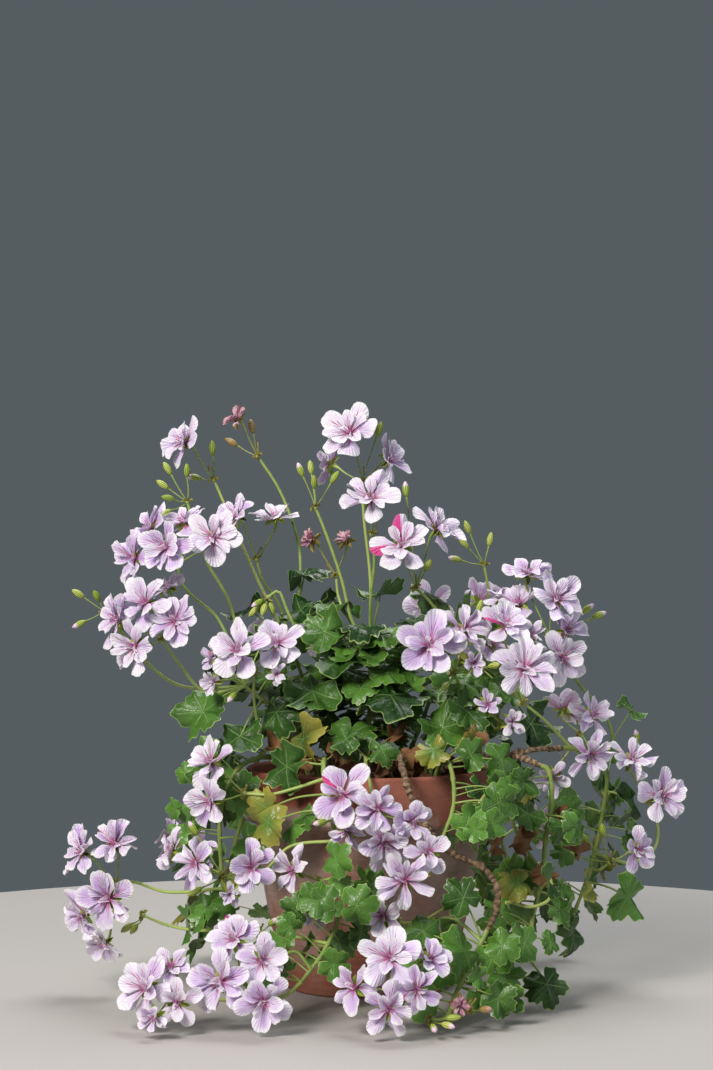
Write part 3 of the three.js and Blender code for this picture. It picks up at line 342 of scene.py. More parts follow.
# Where everything grows, in millimetres. A bloom is [x, y, z, diameter], with a last number where one or two
# of its petals are marked in hot pink; a leaf is [x, y, z, width].
heads = {
    "far_back": {"shoot": "back_left", "hub": [-128, 75, 407], "stalk": [[-114, 72, 375], [-87, 55, 316]],
        "blooms": [[-150, 52, 437, 48]], "buds": [[-129, 70, 433], [-144, 72, 409]]},
    "withered_back": {"shoot": "back_left", "dry": True, "hub": [-91, 70, 426], "stalk": [[-73, 66, 398],
        [-57, 56, 353], [-56, 46, 316]], "blooms": [[-107, 58, 456, 32]], "buds": [[-96, 72, 451],
        [-113, 74, 438]]},
    "upper_left": {"shoot": "upper_left", "hub": [-153, 10, 338], "stalk": [[-152, 12, 325],
        [-142, 10, 312], [-121, 4, 294]], "blooms": [[-185, -12, 342, 50], [-174, 2, 366, 46],
        [-158, -40, 351, 46], [-148, 8, 370, 44], [-123, -24, 359, 48]]},
    "left_back": {"shoot": "back_left", "hub": [-91, 40, 341], "stalk": [[-86, 38, 324], [-72, 38, 303]],
        "blooms": [[-106, 20, 375, 44], [-76, 34, 374, 42]]},
    "left": {"shoot": "upper_left", "hub": [-164, -14, 277], "stalk": [[-150, -12, 257], [-130, -16, 236]],
        "blooms": [[-174, -42, 306, 52], [-197, -32, 294, 46], [-151, -48, 293, 48], [-181, -56, 274, 50],
        [-159, -14, 317, 38]]},
    "left_near": {"shoot": "upper_left", "hub": [-90, -40, 252], "stalk": [[-90, -38, 231],
        [-84, -30, 204]], "blooms": [[-100, -72, 271, 50], [-71, -60, 276, 44], [-120, -54, 267, 30],
        [-119, -60, 247, 28], [-71, -70, 253, 26]], "buds": [[-106, -60, 235]]},
    "top": {"shoot": "top", "hub": [-5, 14, 404], "stalk": [[-3, 14, 373], [2, 10, 325]],
        "blooms": [[-14, -14, 442, 50], [16, 4, 421, 42], [-30, 28, 418, 38]], "buds": [[9, 12, 446]]},
    "single": {"shoot": "top", "hub": [3, -22, 362], "stalk": [[5, -20, 341], [2, -16, 309]],
        "blooms": [[2, -34, 389, 48]]},
    "middle": {"shoot": "top", "hub": [38, -26, 319], "stalk": [[49, -24, 308], [58, -20, 292],
        [42, -10, 262]], "blooms": [[26, -52, 352, 48, 2], [54, -26, 365, 46]], "buds": [[30, -20, 397],
        [47, -42, 337]]},
    "withered_middle": {"shoot": "top", "dry": True, "hub": [-26, 24, 328], "stalk": [[-23, 22, 308]],
        "blooms": [[-44, 12, 356, 26], [-18, 10, 355, 26]]},
    "right_near": {"shoot": "upper_right", "hub": [67, -44, 252], "stalk": [[74, -42, 240], [78, -38, 224]],
        "blooms": [[47, -78, 275, 54], [74, -68, 287, 48], [80, -84, 262, 26], [95, -54, 276, 38]],
        "buds": [[87, -52, 304], [60, -60, 243], [97, -74, 260]]},
    "right_low": {"shoot": "right", "hub": [121, -64, 230], "stalk": [[137, -58, 217]],
        "blooms": [[119, -98, 258, 56], [106, -72, 290, 44, 1], [125, -68, 281, 37]]},
    "right_upper": {"shoot": "right", "hub": [144, -24, 281], "stalk": [[156, -22, 262], [170, -10, 240],
        [188, 0, 220], [196, -4, 200]], "blooms": [[147, -50, 310, 46], [126, -28, 329, 44],
        [150, -55, 266, 44], [155, -38, 285, 40], [110, -4, 309, 42], [120, -24, 305, 40]],
        "buds": [[174, -24, 302], [184, -16, 297]]},
    "right_small": {"shoot": "upper_right", "hub": [104, -54, 213], "stalk": [[100, -44, 208]],
        "blooms": [[92, -72, 229, 28], [110, -78, 217, 28]]},
    "right_middle": {"shoot": "right", "hub": [170, -14, 202], "blooms": [[158, 10, 219, 42],
        [176, -34, 218, 42], [172, -62, 190, 46], [144, -52, 172, 34]]},
    "far_right": {"shoot": "right", "hub": [226, 4, 146], "stalk": [[234, 6, 124], [230, 2, 108],
        [212, -2, 98]], "blooms": [[208, -26, 182, 46], [231, -36, 155, 46]], "buds": [[216, 2, 198]]},
    "right_lowest": {"shoot": "right", "hub": [193, -14, 100], "stalk": [[184, -12, 93]],
        "blooms": [[211, -44, 114, 38]], "buds": [[172, -26, 120], [186, -30, 127], [160, -28, 108]]},
    "rim_left": {"shoot": "front_left", "hub": [-95, -96, 163], "stalk": [[-75, -102, 163],
        [-59, -104, 167]], "blooms": [[-119, -108, 188, 44], [-118, -124, 160, 42]]},
    "far_left": {"shoot": "left_low", "hub": [-200, -24, 84], "stalk": [[-186, -28, 86], [-160, -40, 80]],
        "blooms": [[-224, -38, 110, 48, 1], [-198, -52, 118, 48, 1], [-201, -66, 78, 52],
        [-223, -40, 62, 46], [-206, -50, 42, 38]]},
    "low_left": {"shoot": "front_left", "hub": [-111, -114, 102], "stalk": [[-98, -112, 99],
        [-79, -110, 106], [-60, -110, 124]], "blooms": [[-128, -138, 115, 46], [-148, -114, 122, 34],
        [-88, -138, 112, 42], [-104, -138, 93, 26]], "buds": [[-133, -112, 138], [-131, -122, 92]]},
    "pot_left": {"shoot": "front_left", "hub": [-36, -110, 98], "blooms": [[-56, -126, 108, 42],
        [-40, -126, 76, 26]]},
    "stripe": {"shoot": "front_left", "hub": [-82, -118, 60], "stalk": [[-63, -118, 58]],
        "blooms": [[-100, -134, 64, 32, 2]], "buds": [[-72, -130, 70], [-90, -126, 48], [-66, -128, 52]]},
    "rim_front": {"shoot": "front", "hub": [1, -114, 152], "stalk": [[2, -112, 166]],
        "blooms": [[-19, -136, 166, 50, 1], [6, -150, 157, 42], [11, -142, 132, 46], [31, -143, 147, 38],
        [-16, -128, 138, 36]], "buds": [[-36, -132, 145]]},
    "pot_front": {"shoot": "front_right", "hub": [43, -134, 108], "blooms": [[27, -160, 106, 54],
        [44, -150, 124, 36]]},
    "ragged": {"shoot": "front_low", "hub": [24, -124, 68], "stalk": [[38, -130, 70], [62, -138, 74]],
        "blooms": [[11, -142, 76, 34]]},
    "surface_front": {"shoot": "front_low", "hub": [26, -196, 31], "stalk": [[41, -190, 41],
        [59, -176, 58]], "blooms": [[15, -212, 56, 48], [-10, -204, 34, 42], [34, -224, 36, 40, 1],
        [14, -232, 24, 42], [43, -201, 53, 34]]},
    "withered_front": {"shoot": "front_low", "dry": True, "hub": [73, -192, 16],
        "blooms": [[66, -206, 22, 24]], "buds": [[84, -204, 18]]},
    "surface_left": {"shoot": "front_left", "hub": [-146, -178, 22], "stalk": [[-124, -174, 20],
        [-91, -166, 18], [-62, -160, 20]], "blooms": [[-161, -196, 32, 48], [-144, -190, 46, 34],
        [-138, -208, 24, 36], [-154, -222, 16, 28]]},
    "surface_middle": {"shoot": "front_left", "hub": [-95, -174, 39], "stalk": [[-74, -168, 44],
        [-55, -156, 52]], "blooms": [[-107, -202, 38, 50], [-98, -182, 64, 42], [-78, -196, 52, 40],
        [-76, -212, 26, 44]]},
    "back_right": {"shoot": "upper_back", "hub": [70, 104, 286], "stalk": [[66, 90, 270]],
        "blooms": [[94, 126, 304, 46], [54, 134, 300, 46], [84, 138, 272, 42]]},
    "back_left": {"shoot": "back_left", "hub": [-60, 108, 262], "stalk": [[-60, 84, 254]],
        "blooms": [[-84, 130, 274, 46], [-46, 136, 276, 44]]},
    "back_middle": {"shoot": "back", "hub": [-6, 148, 150], "stalk": [[-8, 138, 140]],
        "blooms": [[-26, 172, 164, 46], [16, 174, 156, 44]]},
    "back_low_right": {"shoot": "back_right", "hub": [136, 126, 118], "blooms": [[160, 134, 132, 46],
        [146, 158, 112, 44]]},
    "back_low_left": {"shoot": "back_left_low", "hub": [-138, 112, 92], "blooms": [[-164, 122, 106, 46],
        [-146, 142, 88, 42]]},
}

shoots = {
    "back_left": {"stems": [[[-28, 34, 148], [-28, 34, 168], [-45, 40, 220], [-62, 44, 268]]],
        "leaves": [[-52, 36, 328, 36], [-98, 44, 300, 36], [-40, 62, 300, 38], [-84, 78, 232, 38],
        [-110, 58, 262, 36]]},
    "upper_left": {"stems": [[[-40, -8, 148], [-40, -8, 168], [-60, -12, 208], [-98, -14, 240]]],
        "umbels": [{"hub": [-147, 30, 388], "stalk": [[-143, 30, 372], [-132, 28, 341], [-112, 22, 305]],
        "buds": [[-163, 28, 415], [-147, 22, 413], [-167, 30, 402], [-162, 20, 391], [-165, 26, 379]]},
        {"hub": [-211, -8, 300], "stalk": [[-195, -6, 280], [-175, 0, 256], [-151, 0, 240]],
        "buds": [[-231, -14, 314], [-230, -16, 290], [-216, -16, 312]]}], "leaves": [[-130, -40, 222, 44],
        [-100, -58, 204, 40], [-126, 2, 262, 36], [-118, 22, 228, 40], [-84, -10, 276, 36],
        [-72, -44, 222, 38]]},
    "top": {"stems": [[[0, 4, 148], [0, 4, 168], [1, 2, 215], [2, 0, 266]]],
        "umbels": [{"hub": [-42, -6, 383], "stalk": [[-34, -6, 363], [-21, -6, 325], [-13, -6, 293]],
        "buds": [[-54, -6, 413], [-46, 2, 415], [-43, -14, 403], [-27, -4, 407]]}, {"hub": [-80, -8, 311],
        "stalk": [[-72, -6, 316], [-64, -6, 299], [-52, -4, 279]], "buds": [[-88, -12, 307],
        [-83, -14, 302], [-77, -8, 303], [-91, -6, 300]]}], "leaves": [[-54, 8, 300, 36],
        [-24, 10, 304, 40], [10, 26, 312, 38], [17, -48, 235, 54], [-14, -60, 206, 42], [58, -52, 210, 42],
        [-22, -32, 262, 44], [40, 10, 292, 42], [32, -20, 264, 42], [-44, -40, 238, 44],
        [-50, -62, 202, 40], [-64, 4, 268, 38], [6, 44, 280, 42], [-4, -30, 288, 38], [-34, -20, 284, 38],
        [64, -20, 250, 38]]},
    "upper_right": {"stems": [[[46, 0, 148], [46, 0, 168], [60, -14, 200], [92, -26, 222],
        [118, -22, 236]]], "leaves": [[106, -12, 250, 40], [128, -36, 212, 40], [130, 10, 258, 36],
        [88, 12, 256, 38], [78, -50, 222, 36]]},
    "left_low": {"stems": [[[-58, -30, 148], [-58, -30, 168], [-76, -42, 186], [-100, -54, 180],
        [-114, -64, 150], [-114, -68, 100], [-108, -70, 54]]], "umbels": [{"hub": [-178, -30, 60],
        "stalk": [[-160, -38, 54], [-132, -56, 52]], "buds": [[-190, -40, 52], [-186, -22, 48]]}],
        "leaves": [[-110, -86, 76, 28], [-136, -50, 150, 36], [-144, -30, 112, 34], [-124, -84, 172, 32],
        [-134, -34, 40, 34]]},
    "front_left": {"stems": [[[-32, -56, 148], [-32, -56, 168], [-34, -84, 188], [-34, -108, 180],
        [-28, -116, 150], [-22, -120, 110], [-22, -130, 76], [-34, -146, 50], [-50, -158, 30]]],
        "leaves": [[-62, -98, 184, 38], [-76, -108, 142, 32], [-2, -116, 98, 28], [-6, -128, 62, 24],
        [-64, -142, 34, 24]]},
    "front": {"stems": [[[0, -54, 148], [0, -54, 168], [-2, -84, 189], [-2, -102, 184]]],
        "leaves": [[-17, -84, 203, 28], [10, -96, 197, 24]]},
    "front_right": {"stems": [[[52, -58, 148], [52, -58, 168], [58, -84, 188], [63, -102, 182],
        [64, -122, 156], [54, -134, 130]]], "leaves": [[86, -100, 166, 28], [80, -118, 144, 26],
        [50, -98, 196, 26], [78, -92, 192, 26]]},
    "front_low": {"from": ["front", 0], "stems": [[[76, -158, 44], [62, -180, 22], [58, -192, 12]]],
        "umbels": [{"hub": [44, -212, 12], "stalk": [[52, -204, 11]], "buds": [[56, -222, 10],
        [46, -226, 9], [60, -214, 14]]}], "leaves": [[70, -178, 56, 38], [40, -150, 66, 30],
        [70, -156, 92, 30], [94, -182, 22, 26]]},
    "right": {"from": ["right", 0], "stems": [[[176, -33, 188], [190, -16, 172], [188, -8, 140],
        [178, -12, 96], [164, -20, 60]]], "leaves": [[208, -24, 150, 36], [206, -26, 74, 38],
        [172, -42, 86, 26], [212, 4, 220, 24], [200, 22, 150, 38], [186, 22, 100, 38], [160, -52, 48, 34]]},
    "right_low": {"from": ["right", 1], "stems": [[[142, -75, 156], [137, -74, 124], [135, -78, 101],
        [130, -86, 83], [124, -100, 59], [124, -114, 36]]], "leaves": [[122, -90, 147, 30],
        [114, -104, 96, 30], [118, -100, 172, 26], [156, -74, 74, 34], [152, -84, 136, 28],
        [106, -124, 50, 30], [134, -124, 22, 32]]},
    "upper_back": {"stems": [[[30, 40, 148], [30, 40, 168], [48, 52, 216], [64, 60, 262]]],
        "umbels": [{"hub": [97, 70, 336], "stalk": [[100, 66, 307], [88, 62, 280]], "buds": [[83, 70, 367],
        [80, 64, 354], [102, 72, 357], [73, 68, 341]]}], "leaves": [[84, 40, 290, 38], [56, 66, 308, 38],
        [104, 66, 258, 38], [34, 88, 262, 38], [78, 86, 236, 36]]},
    "back": {"stems": [[[-6, 56, 148], [-6, 56, 168], [-6, 86, 188], [-8, 108, 178], [-10, 122, 130],
        [-14, 148, 70], [-20, 176, 24]]], "leaves": [[14, 108, 198, 40], [-30, 112, 196, 40],
        [20, 142, 108, 40], [-42, 148, 116, 40], [8, 174, 60, 40], [-44, 190, 40, 38]]},
    "back_right": {"stems": [[[52, 46, 148], [52, 46, 168], [70, 64, 188], [90, 82, 176], [104, 96, 132],
        [122, 112, 74], [136, 124, 26]]], "leaves": [[62, 88, 198, 38], [104, 60, 200, 40],
        [84, 114, 146, 40], [128, 76, 152, 38], [98, 136, 78, 40], [150, 104, 56, 40]]},
    "back_left_low": {"stems": [[[-50, 44, 148], [-50, 44, 168], [-70, 62, 188], [-90, 80, 176],
        [-104, 94, 128], [-120, 106, 70], [-132, 118, 26]]], "leaves": [[-64, 90, 194, 38],
        [-110, 56, 188, 40], [-84, 114, 142, 38], [-132, 68, 136, 40], [-98, 136, 70, 40],
        [-148, 84, 50, 40]]},
}

woods = {
    "front": [[[25, -40, 148], [25, -40, 168], [24, -82, 190], [26, -107, 182], [34, -114, 158],
        [46, -119, 138], [66, -126, 119], [84, -130, 112], [95, -134, 100], [96, -139, 82],
        [88, -146, 66]]],
    "right": [[[54, -30, 148], [54, -30, 168], [74, -60, 186], [104, -68, 190], [132, -62, 194],
        [152, -50, 194]], [[104, -68, 190], [122, -70, 187], [134, -72, 182]]],
}


# Meshes: what grows is gathered as thin closed sheets and tubes, then made into one piece
def gridFaces(rows, columns):  # the faces of a grid, and the corners on its rim
    index = np.arange(rows * columns).reshape(rows, columns)
    quads = np.stack([index[:-1, :-1], index[1:, :-1], index[1:, 1:], index[:-1, 1:]], -1).reshape(-1, 4)
    rim = np.ones((rows, columns), bool)
    rim[1:-1, 1:-1] = False
    return quads, np.zeros((0, 3), int), rim.ravel()


def bandFaces(index):  # the faces between closed rings of corners
    beyond = np.roll(index, -1, 1)
    return np.stack([index[:-1], beyond[:-1], beyond[1:], index[1:]], -1).reshape(-1, 4)


def capFaces(ring, middle):  # the faces from a ring of corners to one in its middle
    return np.stack([np.full(len(ring), middle), np.roll(ring, -1), ring], -1)


def closedFaces(count, sides):  # rings closed at both ends, by the two corners that come after them
    index = np.arange(count * sides).reshape(count, sides)
    ends = count * sides
    return bandFaces(index), np.vstack([capFaces(index[0], ends), capFaces(index[-1], ends + 1)[:, (0, 2, 1)]])


def roundFaces(rings, around):  # the faces of rings round a middle corner, and the corners on the rim
    index = 1 + np.arange(rings * around).reshape(rings, around)
    rim = np.zeros(1 + rings * around, bool)
    rim[-around:] = True
    return bandFaces(index), capFaces(index[0], 0), rim


class Growth:
    def __init__(self):
        self.points, self.quads, self.tris, self.looks = [], [], [], [[], []]
        self.grain, self.tint, self.count = [], [], 0

    def add(self, points, quads, tris, look, grain=(0, 0, 0), tint=(0.5, 0, 0)):
        self.points.append(points)
        self.quads.append(quads + self.count)
        self.tris.append(tris + self.count)
        for faces, kept in zip((quads, tris), self.looks):
            kept.append(np.full(len(faces), lookOrder.index(look)))
        for rows, kept in ((grain, self.grain), (tint, self.tint)):
            kept.append(np.array(np.broadcast_to(np.asarray(rows, float), (len(points), 3))))
        self.count += len(points)

    def sheet(self, middle, faces, thickness, look, across, along, tint):
        # A thin blade round its middle surface: its upper and under sides meet along the rim
        quads, tris, rim = faces
        normals = np.zeros_like(middle)
        for corners, (a, b, c, d) in ((quads, (2, 0, 3, 1)), (tris, (1, 0, 2, 0))):
            place = middle[corners]
            way = np.cross(place[:, a] - place[:, b], place[:, c] - place[:, d])
            for corner in corners.T:
                np.add.at(normals, corner, way)
        normals /= np.maximum(np.linalg.norm(normals, axis=1, keepdims=True), 1e-9)
        inner = ~rim
        half = thickness / 2 * normals
        below = np.arange(len(middle))
        below[inner] = len(middle) + np.arange(inner.sum())
        grain = np.stack([across, along, np.zeros(len(middle))], 1)
        self.add(np.vstack([middle + half * inner[:, None], (middle - half)[inner]]),
                 np.vstack([quads, below[quads[:, ::-1]]]), np.vstack([tris, below[tris[:, ::-1]]]),
                 look, np.vstack([grain, grain[inner] + (0, 0, 1)]), tint)

    def tube(self, path, radii, sides, look, tint=(0.5, 0, 0), ribs=0.0, rough=0.0, roughness=400.0):
        # A closed tube along a path, with rings that don't twist
        path = np.asarray(path, float)
        radii = np.broadcast_to(np.asarray(radii, float), (len(path),))
        ways = np.gradient(path, axis=0)
        ways /= np.linalg.norm(ways, axis=1, keepdims=True)
        level = crossFrame(ways[0])[0]
        angles = 2 * np.pi * np.arange(sides) / sides
        rings = []
        for place, way, radius in zip(path, ways, radii):
            level = unit(level - way * (level @ way))
            rise = np.cross(way, level)
            reach = radius * (1 + ribs * np.cos(5 * angles))
            ring = place + reach[:, None] * (np.cos(angles)[:, None] * level + np.sin(angles)[:, None] * rise)
            if rough:
                bumps = [noise.noise(Vector(corner * roughness * mm)) for corner in ring]
                ring += (ring - place) * (rough * np.array(bumps))[:, None]
            rings.append(ring)
        points = np.vstack(rings + [path[:1], path[-1:]])
        lengths = alongPath(path)
        grain = np.zeros((len(points), 3))
        grain[:-2, 0] = np.tile(np.abs(angles / np.pi - 1), len(path))
        grain[:-2, 1] = np.repeat(lengths, sides)
        grain[-1, 1] = lengths[-1]
        self.add(points, *closedFaces(len(path), sides), look, grain, tint)

    def mesh(self, name):
        made = bpy.data.meshes.new(name)
        faces = np.vstack(self.quads).tolist() + np.vstack(self.tris).tolist()
        made.from_pydata((np.vstack(self.points) * mm).tolist(), [], faces)
        return made

    def piece(self, name, slot, *nodes):
        mesh = self.mesh(name)
        used = np.concatenate(self.looks[0] + self.looks[1])
        kinds = sorted(set(used.tolist()))
        for kind in kinds:
            mesh.materials.append(bpy.data.materials[looks[lookOrder[kind]]])
        mesh.polygons.foreach_set("material_index", np.searchsorted(kinds, used))
        mesh.polygons.foreach_set("use_smooth", np.ones(len(used), bool))
        for title, rows in (("grain", self.grain), ("tint", self.tint)):
            made = mesh.attributes.new(title, "FLOAT_VECTOR", "POINT")
            made.data.foreach_set("vector", np.vstack(rows).astype(np.float32).ravel())
        mesh.update()
        mesh.set_sharp_from_angle(angle=math.radians(62))
        made = bpy.data.objects.new(name, mesh)
        bpy.context.scene.collection.objects.link(made)
        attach(made, "root")
        if nodes:
            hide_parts(*nodes)
        return made


def alongPath(points):  # how far along a path each of its points lies
    return np.concatenate([[0], np.cumsum(np.linalg.norm(np.diff(points, axis=0), axis=1))])


def curveThrough(points, spacing):
    # The smooth curve that the stems follow, as places a spacing apart
    points = np.asarray(points, float)
    padded = np.vstack([2 * points[0] - points[1], points, 2 * points[-1] - points[-2]])
    share = np.linspace(0, 1, 16, endpoint=False)[:, None]
    fine = []
    for before, start, end, after in zip(padded, padded[1:], padded[2:], padded[3:]):
        pairs = ((before, start), (start, end), (end, after))
        gaps = [max(np.linalg.norm(b - a), 1e-6) ** 0.5 for a, b in pairs]
        leave = (start - before) / gaps[0] - (end - before) / (gaps[0] + gaps[1]) + (end - start) / gaps[1]
        reach = (end - start) / gaps[1] - (after - start) / (gaps[1] + gaps[2]) + (after - end) / gaps[2]
        leave, reach = leave * gaps[1], reach * gaps[1]
        fine.append(start + leave * share + (3 * (end - start) - 2 * leave - reach) * share ** 2
                    + (2 * (start - end) + leave + reach) * share ** 3)
    fine = np.vstack(fine + [points[-1:]])
    lengths = alongPath(fine)
    places = np.linspace(0, lengths[-1], max(3, round(lengths[-1] / spacing) + 1))
    return np.stack([np.interp(places, lengths, fine[:, axis]) for axis in range(3)], 1)


# Stems and stalks: radii, the share of its radius that a stem keeps at its tip, and how a radius goes along a
# flower's or bud's own stalk, as shares of the way and of the radius
stalk = {
    "stem": 2.1, "taper": 0.65, "stalk": 1.15, "pedicel": 0.7, "petiole": 0.8, "knob": 2.6, "spacing": 3.0,
    "widens": 0.22, "footWidens": 0.3, "footShare": 0.03, "jointGap": 27.0, "jointWidens": 0.28,
    "budStalk": ((0, 0.1, 0.8, 1), (0.95, 0.75, 0.75, 1.3)),
    "flowerStalk": ((0, 0.1, 0.7, 1), (1.1, 1.0, 1.05, 2.0)),
}


def pedicelAlong(growth, path, shape, tint):
    radii = np.interp(np.linspace(0, 1, len(path)), *stalk[shape]) * stalk["pedicel"]
    growth.tube(path, radii, 6, "stalk", tint)


def pedicelTo(growth, hub, back, tint, index):  # a thin stalk, a little bowed
    middle = (hub + back) / 2 + np.array([spread(index, 211, 1.2), spread(index, 212, 1.2), -1.0])
    pedicelAlong(growth, curveThrough([hub, middle, back], 3.5), "budStalk", tint)


# A petal's outline: the angle that its tip fans over, how much of it is rounded, how fast its claw widens, how
# wide that claw starts, and the depth of its middle fold. Lengths are shares of its own length.
blade = {"fan": 1.95, "round": 0.35, "claw": 1.9, "foot": 0.03, "fold": 0.018, "rows": 9, "columns": 11,
         "thick": 0.35, "lowest": 0.6}
sepal = {"round": 0.62, "rows": 5, "long": 9.5, "bractLong": 5.5}

# A flower. Lengths are shares of its radius, half widths shares of a petal's length, angles in radians; a
# whorl's "Spread" is how far one petal departs from the next. Sizes in mm: rear flowers stand behind "back".
flower = {"petals": 5, "back": 100, "halfOpen": 36, "halfOpenRange": 10, "ruffle": 0.036, "sunk": 0.02,
          "lowest": (0.45, 2), "forward": (0, -0.35, 0), "outward": 0.6}
outer = {"upper": 0.25, "lower": 0.29, "widthSpread": 0.16, "long": 1.1, "longSpread": 0.09, "sway": 0.17,
         "lift": 0.18, "liftSpread": 0.3, "curl": 0.3, "curlSpread": 0.55, "cup": 0.16,
         "notch": 0.07, "twist": 0.4}
inner = {"width": 0.235, "widthSpread": 0.25, "long": 0.86, "longSpread": 0.08, "sway": 0.3, "lift": 0.5,
         "liftSpread": 0.26, "curl": 0.3, "curlSpread": 0.5, "cup": 0.1, "notch": 0.08, "twist": 0.45,
         "raised": 0.05}
throat = {"width": 0.26, "lift": 1.0, "curl": 0.9, "cup": 0.2, "ruffle": 0.1, "twist": 0.6, "long": 0.34,
          "longSpread": 0.12, "raised": 0.06}
stamen = {"count": 6, "lean": 0.4, "long": 0.24, "longSpread": 0.14, "radii": (0.26, 0.22, 0.22, 0.6),
          "anther": 1.1, "shade": 0.14}


def bladeGrid(rows, columns, ease):
    along, across = np.meshgrid(np.linspace(0, 1, rows) ** ease, np.linspace(-1, 1, columns), indexing="ij")
    return gridFaces(rows, columns), along.ravel(), across.ravel()


petalGrid = bladeGrid(blade["rows"], blade["columns"], 0.85)
sepalGrid = bladeGrid(sepal["rows"], sepal["rows"], 1)


def petal(growth, seat, frameOf, angle, length, shape, look, tint, index, small=False):
    # One petal from its claw outward: lift is how steeply it starts, curl how far it rolls back
    faces, along, across = sepalGrid if small else petalGrid
    level, rise, axis = frameOf
    outward = math.cos(angle) * level + math.sin(angle) * rise
    beside = -math.sin(angle) * level + math.cos(angle) * rise
    fan = across * blade["fan"]
    blunt = sepal["round"] if small else blade["round"]
    side = shape["width"] * np.sin(fan) * along ** blade["claw"] + blade["foot"] * across
    reach = (1 - blunt + blunt * np.cos(fan) - shape.get("notch", 0) * np.exp(-(across / 0.2) ** 2)) * along
    ways = np.linspace(0, 1.1, 23)
    slopes = shape["lift"] - shape["curl"] * ways
    outs, ups = [np.concatenate([[0], np.cumsum(part(slopes[:-1]) * np.diff(ways))])
                 for part in (np.cos, np.sin)]
    out, up, slope = [np.interp(reach, ways, values) for values in (outs, ups, slopes)]
    phase = 6.28 * draw(index, 201)
    bump = shape["cup"] * (side / shape["width"]) ** 2
    bump = bump + shape["ruffle"] * along ** 2 * np.sin(across * (3.6 + 2 * draw(index, 202)) + phase)
    bump = bump + 0.5 * shape["ruffle"] * along ** 3 * np.sin(across * 8.5 + 2 * phase)
    bump = bump - blade["fold"] * np.exp(-(across / 0.14) ** 2) * np.sin(np.pi * along)
    skew = shape.get("twist", 0) * along
    side, bump = side * np.cos(skew) - bump * np.sin(skew), side * np.sin(skew) + bump * np.cos(skew)
    out = out - bump * np.sin(slope)
    up = up + bump * np.cos(slope)
    middle = np.asarray(seat) + length * (
        out[:, None] * outward + side[:, None] * beside + up[:, None] * axis)
    middle[:, 2] = np.maximum(middle[:, 2], blade["lowest"])
    growth.sheet(middle, faces, blade["thick"], look, across, along, tint)


def outerWhorl(growth, seat, frameOf, start, radius, pink, dry, index, shut, tired):
    for number in range(flower["petals"]):
        angle = start + 2 * math.pi / flower["petals"] * number + spread(index, number, outer["sway"])
        upper = math.sin(angle) > 0.3
        wide = outer["upper" if upper else "lower"]
        curl = outer["curl"] + spread(index, number + 50, outer["curlSpread"])
        curl += spread(index, number + 51, 1.2) if dry else 0.7 * tired
        shape = {
            "width": wide * (1 - 0.5 * tired + spread(index, number + 55, outer["widthSpread"])),
            "lift": outer["lift"] + spread(index, number + 40, outer["liftSpread"]) + 0.5 * shut + curl / 2,
            "curl": curl, "cup": spread(index, number + 60, outer["cup"]) + 0.02,
            "ruffle": flower["ruffle"] * (0.6 + draw(index, number + 65) + 2 * tired),
            "notch": outer["notch"] * draw(index, number + 66),
            "twist": spread(index, number + 67, outer["twist"] + tired),
        }
        long = (outer["long"] + spread(index, number + 20, outer["longSpread"])) * radius * (1 - 0.2 * tired)
        veined = 0.85 + 0.15 * draw(index, number + 68) if upper else 0.6 * draw(index, number + 68)
        marked = (0.0, 0.6, 1.0)[pink] if number in (1, 0)[:pink] else 0.0
        tone = 0.55 * draw(index, 3) + 0.45 * draw(index, number + 69)
        petal(growth, seat, frameOf, angle, long, shape, "witheredPetal" if dry else "petal",
              (tone, veined, marked), index * 11 + number)


def innerWhorl(growth, seat, frameOf, start, radius, count, dry, index, shut, tired):
    # These stand a little steeper between the outer petals, with room left to see the throat
    order = ([0, 2, 4, 1, 3] if draw(index, 4) > 0.5 else [4, 1, 3, 0, 2])[:count]
    for number, gap in enumerate(order):
        angle = start + math.pi / flower["petals"] * (1 + 2 * gap) + spread(index, number + 70, inner["sway"])
        curl = inner["curl"] + spread(index, number + 73, inner["curlSpread"]) + 0.5 * tired
        shape = {
            "width": inner["width"] * (1 - 0.5 * tired + spread(index, number + 71, inner["widthSpread"])),
            "lift": inner["lift"] + spread(index, number + 72, inner["liftSpread"]) + curl / 2 + 0.3 * shut,
            "curl": curl, "cup": 0.05 + spread(index, number + 77, inner["cup"]),
            "ruffle": 1.6 * flower["ruffle"], "notch": inner["notch"] * draw(index, number + 74),
            "twist": spread(index, number + 75, inner["twist"]),
        }
        long = (inner["long"] + spread(index, number + 80, inner["longSpread"])) * radius
        veined = 1.0 if math.sin(angle) > 0.1 else 0.7
        tint = (0.4 * draw(index, 3) + 0.4 * draw(index, number + 76), veined, 0.0)
        petal(growth, seat + inner["raised"] * radius * frameOf[2], frameOf, angle, long, shape,
              "witheredPetal" if dry else "petal", tint, index * 17 + number)


def throatAndStamens(growth, seat, frameOf, radius, dry, index):
    level, rise, axis = frameOf
    look = "witheredPetal" if dry else "petal"
    for number in range(0 if dry else 1 + round(1.4 * draw(index, 81))):  # small curled petals
        long = (throat["long"] + throat["longSpread"] * draw(index, number + 83)) * radius
        petal(growth, seat + throat["raised"] * radius * axis, frameOf, 2.4 * number + 6.28 * draw(index, 82),
              long, throat, look, (0.2, 1.0, 0.0), index * 19 + number, small=True)
    for number in range(stamen["count"]):
        swing = 1.047 * number + draw(index, 84)
        way = unit(axis + stamen["lean"] * (math.cos(swing) * level + math.sin(swing) * rise))
        end = seat + (stamen["long"] + stamen["longSpread"] * draw(index, number + 90)) * radius * way
        growth.tube([seat, (seat + end) / 2, end, end + stamen["anther"] * way], stamen["radii"], 4, look,
                    (0.5, 1.0, 0.0))
        growth.grain[-1][:, 1] = stamen["shade"]


